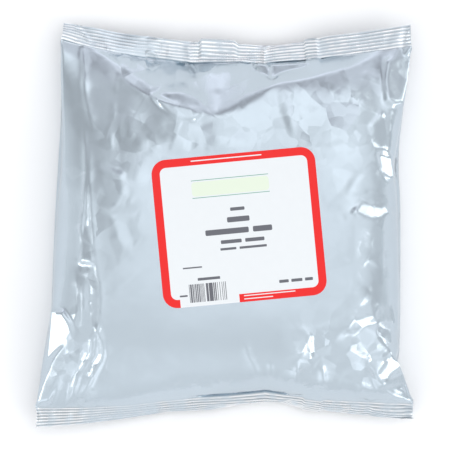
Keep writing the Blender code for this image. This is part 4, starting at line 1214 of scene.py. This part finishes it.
def heap_tree():
    """Lays pods over the heap, each flat on it and turned its own way."""
    tree, start, end = new_tree("Heap of pods", (("Pod", "NodeSocketObject"),
                                                 ("Spacing", "NodeSocketFloat"),
                                                 ("Seed", "NodeSocketInt"),
                                                 ("Material", "NodeSocketMaterial")))
    roomy = add(tree, "GeometryNodeInputNamedAttribute", {"Name": "roomy"}, data_type="FLOAT")
    chosen = add(tree, "FunctionNodeCompare", (roomy, ALL_CORNERS_ROOMY),
                 data_type="FLOAT", operation="GREATER_THAN")
    scattered = add(tree, "GeometryNodeDistributePointsOnFaces",
                    {"Mesh": start.outputs["Geometry"], "Selection": chosen,
                     "Distance Min": start.outputs["Spacing"], "Density Max": PODS_TRIED,
                     "Seed": start.outputs["Seed"]}, distribute_method="POISSON")
    pod = add(tree, "GeometryNodeObjectInfo", {"Object": start.outputs["Pod"]})
    spin = add(tree, "FunctionNodeRandomValue",
               {"Min": 0.0, "Max": math.tau, "Seed": start.outputs["Seed"]}, data_type="FLOAT")
    roll = add(tree, "ShaderNodeCombineXYZ", {"Z": spin})
    turned = add(tree, "FunctionNodeRotateRotation", (scattered.outputs["Rotation"], roll),
                 rotation_space="LOCAL")
    laid = add(tree, "GeometryNodeInstanceOnPoints", {"Points": scattered,
                                                      "Instance": pod.outputs["Geometry"],
                                                      "Rotation": turned})
    together = add(tree, "GeometryNodeJoinGeometry", {"Geometry": laid})
    fill(tree, together, {"Geometry": start.outputs["Geometry"]})
    real = add(tree, "GeometryNodeRealizeInstances", {"Geometry": together})
    finished = add(tree, "GeometryNodeSetMaterial", {"Geometry": real,
                                                     "Material": start.outputs["Material"]})
    fill(tree, end, {"Geometry": finished})
    return tree


# Materials

def new_material(name):
    """A material, its node tree and its shader."""
    material = bpy.data.materials.new(name)
    material.use_nodes = True
    tree = material.node_tree
    return material, tree, tree.nodes["Principled BSDF"]


def grain(tree, place, width, height, detail=2.0):
    """Heights of a cloudy grain, from how wide a feature is and how far it stands up."""
    cloud = add(tree, "ShaderNodeTexNoise", {"Vector": place, "Scale": 1 / width,
                                             "Detail": detail})
    return add(tree, "ShaderNodeMath", (cloud, height), operation="MULTIPLY")


def patchy(tree, place, width, span, result, detail=2.0):
    """A value that changes in cloudy patches of a given width.

    The span is the part of the cloud's range over which it is eased from one end of the
    result to the other.
    """
    cloud = add(tree, "ShaderNodeTexNoise", {"Vector": place, "Scale": 1 / width,
                                             "Detail": detail})
    return add(tree, "ShaderNodeMapRange", (cloud, *span, *result),
               interpolation_type="SMOOTHSTEP")


def leaning_facets(tree, place, crumpled):
    """The film's own facing, with a lean of its own for each facet where it is crumpled."""
    facets = (0.0, 0.0, 0.0)
    for width, lean in FACET_LEANS:
        bend = add(tree, "ShaderNodeTexNoise", {"Vector": place, "Scale": FACET_BENDS / width,
                                                "Detail": 1.0})
        bend = add(tree, "ShaderNodeVectorMath",
                   (bend.outputs["Color"], (FACET_BOW * width,) * 3), operation="MULTIPLY")
        bent = add(tree, "ShaderNodeVectorMath", (place, bend), operation="ADD")
        cell = add(tree, "ShaderNodeTexVoronoi", {"Vector": bent, "Scale": 1 / width})
        tilt = add(tree, "ShaderNodeVectorMath", (cell.outputs["Color"], (0.5, 0.5, 0.5)),
                   operation="SUBTRACT")
        facets = add(tree, "ShaderNodeVectorMath", (tilt, (lean,) * 3, facets),
                     operation="MULTIPLY_ADD")
    facets = add(tree, "ShaderNodeVectorMath", (facets, crumpled), operation="MULTIPLY")
    facing = add(tree, "ShaderNodeNewGeometry").outputs["Normal"]
    facing = add(tree, "ShaderNodeVectorMath", (facing, facets), operation="SUBTRACT")
    return add(tree, "ShaderNodeVectorMath", (facing,), operation="NORMALIZE")


def painted_rib_light(tree, up_bag, settings):
    """Painted light on the crimp: highlights on the rib tops, shade in the grooves, brighter at
    the top seal.
    """
    turn = add(tree, "ShaderNodeMath", (up_bag, math.tau / settings.rib_pitch),
               operation="MULTIPLY")
    turn = add(tree, "ShaderNodeMath", (turn,), operation="COSINE")
    ridge = add(tree, "ShaderNodeMath", (turn, 0.5, 0.5), operation="MULTIPLY_ADD")
    upper = add(tree, "ShaderNodeMapRange", (up_bag, 0, settings.cut_length, 0, 1),
                interpolation_type="SMOOTHSTEP")
    grooves = ([level * part for part in settings.metal] for level in PAINTED_GROOVE_SHADES)
    groove = add(tree, "ShaderNodeMix", (upper, *grooves), data_type="RGBA")
    tops = ((level,) * 3 for level in PAINTED_RIB_TOP_HIGHLIGHTS)
    top = add(tree, "ShaderNodeMix", (upper, *tops), data_type="RGBA")
    return add(tree, "ShaderNodeMix", (ridge, groove, top), data_type="RGBA")


def vacuum_coated_film(settings):
    """Polyester film with aluminium evaporated on it, on a tough sealing layer.

    The metal is a mirror dulled by the film's fine grain. Where the bag is crumpled the film
    breaks into small flat facets, each leaning its own way. The pods inside press faint swells
    into it. The hot jaws leave a fine grain across the ribs of the seals. In patches over the
    seals the rib tops get painted highlights and the grooves between them painted shade.
    """
    material, tree, shader = new_material("vacuum_coated_polyester_film")
    place = add(tree, "ShaderNodeTexCoord").outputs["Object"]
    crumpled, crimped, up_bag = (
        add(tree, "ShaderNodeAttribute", attribute_name=name).outputs["Fac"]
        for name in ("crumpled", "crimped", "up_bag"))
    across = add(tree, "ShaderNodeSeparateXYZ", (place,)).outputs["X"]
    pitch, depth = JAW_GRAIN
    knurl = add(tree, "ShaderNodeMath", (across, math.tau / pitch), operation="MULTIPLY")
    knurl = add(tree, "ShaderNodeMath", (knurl,), operation="SINE")
    pressed = add(tree, "ShaderNodeMath", (crimped, depth), operation="MULTIPLY")
    knurl = add(tree, "ShaderNodeMath", (knurl, pressed), operation="MULTIPLY")
    height = add(tree, "ShaderNodeMath", (grain(tree, place, *POD_SWELLS), knurl),
                 operation="ADD")
    height = add(tree, "ShaderNodeMath", (height, grain(tree, place, *FILM_GRAIN)),
                 operation="ADD")
    bump = add(tree, "ShaderNodeBump", {"Height": height, "Distance": 1.0,
                                        "Normal": leaning_facets(tree, place, crumpled)})
    hazy = [settings.roughness + shift for shift in HAZE_SHIFTS]
    rough = patchy(tree, place, HAZE_WIDTH, HAZE_SPAN, hazy, 3.0)
    rough = add(tree, "ShaderNodeMath", (crimped, CRIMP_DULLING, rough),
                operation="MULTIPLY_ADD")
    cloudy = patchy(tree, place, *CLOUDED_METAL)
    duller = [CLOUD_SHADE * part for part in settings.metal]
    bare = add(tree, "ShaderNodeMix", (cloudy, settings.metal, duller), data_type="RGBA")
    # painted light: in patches over the crimp, painted highlights on the rib tops and painted
    # shade in the grooves
    rib_light_share = patchy(tree, place, *RIB_LIGHT_PATCHES)
    rib_light_share = add(tree, "ShaderNodeMath", (crimped, rib_light_share), operation="MULTIPLY")
    tint = add(tree, "ShaderNodeMix", (rib_light_share, bare, painted_rib_light(tree, up_bag, settings)),
               data_type="RGBA")
    fill(tree, shader, {"Base Color": tint, "Metallic": 1.0, "Roughness": rough,
                        "Normal": bump})
    return material


def boxed(tree, place, middle, half, corner=0.0):
    """How far a place lies outside a box with round corners, in the place's own unit."""
    near = add(tree, "ShaderNodeVectorMath", (place, (*middle, 0)), operation="SUBTRACT")
    near = add(tree, "ShaderNodeVectorMath", (near,), operation="ABSOLUTE")
    over = add(tree, "ShaderNodeVectorMath", (near, (half[0] - corner, half[1] - corner, 0)),
               operation="SUBTRACT")
    outside = add(tree, "ShaderNodeVectorMath", (over, (0, 0, 0)), operation="MAXIMUM")
    outside = add(tree, "ShaderNodeVectorMath", (outside,), operation="LENGTH")
    parts = add(tree, "ShaderNodeSeparateXYZ", (over,)).outputs
    inside = add(tree, "ShaderNodeMath", (parts["X"], parts["Y"]), operation="MAXIMUM")
    inside = add(tree, "ShaderNodeMath", (inside, 0.0), operation="MINIMUM")
    off = add(tree, "ShaderNodeMath", (outside, inside), operation="ADD")
    return add(tree, "ShaderNodeMath", (off, corner), operation="SUBTRACT")


def printed(tree, place, middle, half, corner=0.0):
    """Ink inside a box, from 0 to 1 over its soft edge."""
    return add(tree, "ShaderNodeMapRange",
               (boxed(tree, place, middle, half, corner), -INK_EDGE, 0, 1, 0),
               interpolation_type="SMOOTHSTEP")


def coated_paper(settings):
    """Coated label paper: a dull white with a printed border, bars, rules and stripes.

    The ink is a little glossier than the paper, whose pressed fibres show as a faint mottle
    and grain. The stripes are random.
    """
    material, tree, shader = new_material("coated_label_paper")
    place = add(tree, "ShaderNodeUVMap", uv_map="millimetres").outputs["UV"]
    half = (settings.width / MM / 2, settings.height / MM / 2)
    edge = boxed(tree, place, (0, 0), half, settings.corner / MM)
    inner = -settings.border / MM
    border = add(tree, "ShaderNodeMapRange", (edge, inner - INK_EDGE, inner, 0, 1),
                 interpolation_type="SMOOTHSTEP")
    gap = add(tree, "ShaderNodeMapRange", (boxed(tree, place, *BORDER_GAP), 0, INK_EDGE, 0, 1),
              interpolation_type="SMOOTHSTEP")
    border = add(tree, "ShaderNodeMath", (border, gap), operation="MULTIPLY")
    inks = dict.fromkeys(("white", "pale", "green", "black"), 0.0)
    for ink, x, y, long, tall in BARS:
        bar = printed(tree, place, (x, y), (long / 2, tall / 2), tall / 4)
        inks[ink] = add(tree, "ShaderNodeMath", (bar, inks[ink]), operation="MAXIMUM")
    across = add(tree, "ShaderNodeSeparateXYZ", (place,)).outputs["X"]
    number = add(tree, "ShaderNodeMath", (across, STRIPE_WIDTH), operation="DIVIDE")
    number = add(tree, "ShaderNodeMath", (number,), operation="FLOOR")
    chance = add(tree, "ShaderNodeTexWhiteNoise", {"W": number}, noise_dimensions="1D")
    stripes = add(tree, "ShaderNodeMath", (chance, STRIPED_SHARE), operation="LESS_THAN")
    stripes = add(tree, "ShaderNodeMath", (stripes, printed(tree, place, *STRIPES)),
                  operation="MULTIPLY")
    inks["black"] = add(tree, "ShaderNodeMath", (inks["black"], stripes), operation="MAXIMUM")
    mottle = patchy(tree, place, *MOTTLED_PAPER)
    duller = [MOTTLE_SHADE * part for part in settings.white]
    tint = add(tree, "ShaderNodeMix", (mottle, settings.white, duller), data_type="RGBA")
    tint = add(tree, "ShaderNodeMix", (border, tint, settings.red), data_type="RGBA")
    for name, ink in inks.items():
        tint = add(tree, "ShaderNodeMix", (ink, tint, getattr(settings, name)),
                   data_type="RGBA")
    glossy = add(tree, "ShaderNodeMath", (border, inks["black"]), operation="MAXIMUM")
    rough = add(tree, "ShaderNodeMapRange", (glossy, 0, 1, *PAPER_ROUGHNESS),
                interpolation_type="SMOOTHSTEP")
    fibres = grain(tree, place, *PAPER_FIBRES)
    bump = add(tree, "ShaderNodeBump", {"Height": fibres, "Distance": 1.0})
    fill(tree, shader, {"Base Color": tint, "Roughness": rough, "Normal": bump})
    return material


def dried_husk(settings):
    """A dried pod's husk: green fading to straw, dull, with fine ribs of fibre."""
    material, tree, shader = new_material("dried_pod_husk")
    place = add(tree, "ShaderNodeTexCoord").outputs["Object"]
    faded = patchy(tree, place, *FADED_HUSK)
    flecks = patchy(tree, place, *FLECKED_HUSK)
    tint = add(tree, "ShaderNodeMix", (faded, settings.husk, linear(STRAW)), data_type="RGBA")
    tint = add(tree, "ShaderNodeMix", (flecks, tint, linear(HUSK_FLECK)), data_type="RGBA")
    rough = add(tree, "ShaderNodeMapRange", (faded, 0, 1, *HUSK_ROUGHNESS),
                interpolation_type="SMOOTHSTEP")
    fibres = grain(tree, place, *HUSK_FIBRES)
    bump = add(tree, "ShaderNodeBump", {"Height": fibres, "Distance": 1.0})
    fill(tree, shader, {"Base Color": tint, "Roughness": rough, "Normal": bump})
    return material


def matt_paper(settings):
    """A sweep of matt background paper, with the faint tooth of its surface."""
    material, tree, shader = new_material("matt_paper_sweep")
    place = add(tree, "ShaderNodeTexCoord").outputs["Object"]
    tooth = grain(tree, place, *FLOOR_TOOTH)
    bump = add(tree, "ShaderNodeBump", {"Height": tooth, "Distance": 1.0})
    fill(tree, shader, {"Base Color": settings.floor, "Roughness": FLOOR_ROUGHNESS,
                        "Normal": bump})
    return material


# Pieces

def new_object(name, data):
    thing = bpy.data.objects.new(name, data)
    bpy.context.scene.collection.objects.link(thing)
    return thing


def finish_piece(thing, node):
    """Shades a piece, hangs it on the root and hides the CAD part that it stands for."""
    thing.data.shade_smooth()
    thing.data.set_sharp_from_angle(angle=SHARP_EDGE)
    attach(thing, "root")
    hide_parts(node)


class BAG_OT_film(bpy.types.Operator):
    """Settle the film and crimp its seals"""
    bl_idname = "foil_bag.film"
    bl_label = "Film"

    def execute(self, context):
        settings = context.scene.bag_film
        film, middle = settled_film(cut_of(context.scene))
        skin = Skin(film, settings)
        mesh = skin.mesh()
        mesh.transform(Matrix.Translation(Vector(-middle) + Vector((0, 0, skin.film))))
        thing = new_object("film", mesh)
        apply_tree(thing, crimp_tree(), {"Pitch": settings.rib_pitch,
                                         "Height": settings.rib_height,
                                         "Material": vacuum_coated_film(settings)})
        finish_piece(thing, "foil_bag")
        return {"FINISHED"}


def surface_of(thing):
    """A piece's faces, to lay the label on and to keep the pods off."""
    mesh = thing.data
    return BVHTree.FromPolygons([v.co for v in mesh.vertices],
                                [face.vertices for face in mesh.polygons])


def label_plan(width, height, corner):
    """Columns of places over a rectangle with round corners, in its own axes."""
    turn = np.radians(np.linspace(90, 0, CORNER_STEPS, endpoint=False))
    reach = width / 2 - corner + corner * np.sin(turn)
    middle = np.linspace(0, width / 2 - corner, LABEL_COLUMNS, endpoint=False)[::-1]
    half = np.r_[reach, width / 2 - corner, middle]
    rise = np.r_[height / 2 - corner + corner * np.cos(turn), np.full(len(middle) + 1, height / 2)]
    x, top = np.r_[-half, half[-2::-1]], np.r_[rise, rise[-2::-1]]
    share = np.linspace(-1, 1, LABEL_ROWS)
    return np.stack([x[:, None] + 0 * share, top[:, None] * share], -1)


def label_mesh(settings, film, middle):
    """The label dropped on the film and given its thickness, with its plan as its UV map."""
    plan = label_plan(settings.width, settings.height, settings.corner)
    right, up = plan[..., 0], plan[..., 1]
    cosine, sine = math.cos(settings.turn), math.sin(settings.turn)
    x = settings.across + right * cosine - up * sine - middle[0]
    y = settings.along + right * sine + up * cosine - middle[1]
    bottom = []
    for place in zip(x.ravel(), y.ravel()):
        hit, *_ = film.ray_cast(Vector((*place, 1)), Vector((0, 0, -1)))
        bottom.append(hit + Vector((0, 0, STUCK_GAP)))
    top = [point + Vector((0, 0, settings.paper)) for point in bottom]
    count = len(bottom)
    number = np.arange(count).reshape(x.shape)
    a, b, c, d = number[:-1, :-1], number[1:, :-1], number[1:, 1:], number[:-1, 1:]
    under = np.stack([a, d, c, b], -1).reshape(-1, 4)
    over = under[:, ::-1] + count
    rim = np.r_[number[:, 0], number[-1, 1:], number[-2::-1, -1], number[0, -2:0:-1]]
    edge = np.stack([rim, np.roll(rim, -1), np.roll(rim, -1) + count, rim + count], -1)
    mesh = bpy.data.meshes.new("label")
    mesh.from_pydata(bottom + top, [], np.concatenate([under, over, edge]).tolist())
    loops = np.empty(len(mesh.loops), np.int32)
    mesh.loops.foreach_get("vertex_index", loops)
    flat = np.tile(plan.reshape(-1, 2) / MM, (2, 1))[loops]
    places = mesh.uv_layers.new(name="millimetres")
    places.data.foreach_set("uv", flat.astype(np.float32).ravel())
    return mesh


class BAG_OT_label(bpy.types.Operator):
    """Stick the paper label to the front"""
    bl_idname = "foil_bag.label"
    bl_label = "Label"

    def execute(self, context):
        settings = context.scene.bag_label
        _, middle = settled_film(cut_of(context.scene))
        mesh = label_mesh(settings, surface_of(bpy.data.objects["film"]), middle)
        mesh.materials.append(coated_paper(settings))
        thing = new_object("paper_label", mesh)
        finish_piece(thing, "label")
        return {"FINISHED"}


class BAG_OT_pods(bpy.types.Operator):
    """Fill the bag with pods"""
    bl_idname = "foil_bag.pods"
    bl_label = "Pods"

    def execute(self, context):
        settings = context.scene.bag_pods
        film, middle = settled_film(cut_of(context.scene))
        walls = surface_of(bpy.data.objects["film"])
        mesh = heap_mesh(film, middle, walls, settings.radius + POD_CLEARANCE)
        thing = new_object("pods", mesh)
        pod = new_object("pod", pod_mesh(settings.length, settings.radius))
        apply_tree(thing, heap_tree(), {"Pod": pod, "Spacing": settings.spacing,
                                        "Seed": settings.seed,
                                        "Material": dried_husk(settings)})
        bpy.data.objects.remove(pod, do_unlink=True)
        finish_piece(thing, "cardamom_pods")
        return {"FINISHED"}


def softbox(name, place, width, height, power):
    """A soft white light that shines on the bag's middle."""
    data = bpy.data.lights.new(name, "AREA")
    data.shape, data.size, data.size_y = "RECTANGLE", width, height
    data.energy = power
    light = new_object(name, data)
    light.location = place
    light.rotation_euler = (-Vector(place)).to_track_quat("-Z", "Y").to_euler()


def studio_world():
    """Even studio light from all round, brighter and dimmer towards a few sides."""
    world = bpy.data.worlds.new("studio")
    world.use_nodes = True
    tree = world.node_tree
    way = add(tree, "ShaderNodeTexCoord").outputs["Generated"]
    level = STUDIO_LIGHT
    for source, fade, gain in SOFT_SOURCES:
        toward = add(tree, "ShaderNodeVectorMath", (way, Vector(source).normalized()),
                     operation="DOT_PRODUCT")
        off = add(tree, "ShaderNodeMath", (toward, 1.0), operation="SUBTRACT")
        slope = add(tree, "ShaderNodeMath", (off, fade), operation="MULTIPLY")
        lobe = add(tree, "ShaderNodeMath", (slope,), operation="EXPONENT")
        level = add(tree, "ShaderNodeMath", (lobe, gain, level), operation="MULTIPLY_ADD")
    up_bag = add(tree, "ShaderNodeSeparateXYZ", (way,)).outputs["Y"]
    upper = add(tree, "ShaderNodeMapRange", (up_bag, *LIGHT_CHANGE, 0, 1),
                interpolation_type="SMOOTHSTEP")
    tint = add(tree, "ShaderNodeMix", (upper, *map(linear, LIGHT_TINTS)), data_type="RGBA")
    fill(tree, tree.nodes["Background"], {"Color": tint, "Strength": level})
    return world


class BAG_OT_stage(bpy.types.Operator):
    """Set the floor, the soft lights and the camera"""
    bl_idname = "foil_bag.stage"
    bl_label = "Stage"

    def execute(self, context):
        settings = context.scene.bag_stage
        half = SHOWN_FLOOR / 2
        mesh = bpy.data.meshes.new("floor")
        corners = ((-half, -half, 0), (half, -half, 0), (half, half, 0), (-half, half, 0))
        mesh.from_pydata(corners, [], [(0, 1, 2, 3)])
        floor = new_object("floor", mesh)
        mesh.materials.append(matt_paper(settings))
        for light in SOFTBOXES:
            softbox(*light)
        context.scene.world = studio_world()
        context.scene.view_settings.view_transform = "Standard"
        data = bpy.data.cameras.new("camera")
        data.sensor_width = SENSOR_WIDTH
        data.lens = SENSOR_WIDTH * settings.distance / settings.field
        camera = new_object("camera", data)
        _, middle = settled_film(cut_of(context.scene))
        camera.location = Vector((0, 0, settings.distance + FIELD_HEIGHT)) - Vector(middle)
        context.scene.camera = camera
        return {"FINISHED"}


class BAG_PT_panel(bpy.types.Panel):
    """The foil bag's pieces and their sizes"""
    bl_idname = "BAG_PT_panel"
    bl_label = "Foil Bag"
    bl_space_type = "VIEW_3D"
    bl_region_type = "UI"
    bl_category = "Foil Bag"

    def draw(self, context):
        for step, group in STEPS:
            box = self.layout.box()
            box.operator(step.bl_idname)
            settings = getattr(context.scene, group)
            for key in settings.__annotations__:
                box.prop(settings, key)


GROUPS = {"bag_film": FilmSettings, "bag_label": LabelSettings, "bag_pods": PodSettings,
          "bag_stage": StageSettings}
STEPS = ((BAG_OT_film, "bag_film"), (BAG_OT_label, "bag_label"), (BAG_OT_pods, "bag_pods"),
         (BAG_OT_stage, "bag_stage"))


def register():
    for group in GROUPS.values():
        bpy.utils.register_class(group)
    for step, _ in STEPS:
        bpy.utils.register_class(step)
    bpy.utils.register_class(BAG_PT_panel)
    for name, group in GROUPS.items():
        setattr(bpy.types.Scene, name, PointerProperty(type=group))


def unregister():
    for name in GROUPS:
        delattr(bpy.types.Scene, name)
    bpy.utils.unregister_class(BAG_PT_panel)
    for step, _ in reversed(STEPS):
        bpy.utils.unregister_class(step)
    for group in reversed(GROUPS.values()):
        bpy.utils.unregister_class(group)


def main():
    register()
    bpy.ops.foil_bag.film()
    bpy.ops.foil_bag.label()
    bpy.ops.foil_bag.pods()
    bpy.ops.foil_bag.stage()


if __name__ == "__main__":
    main()
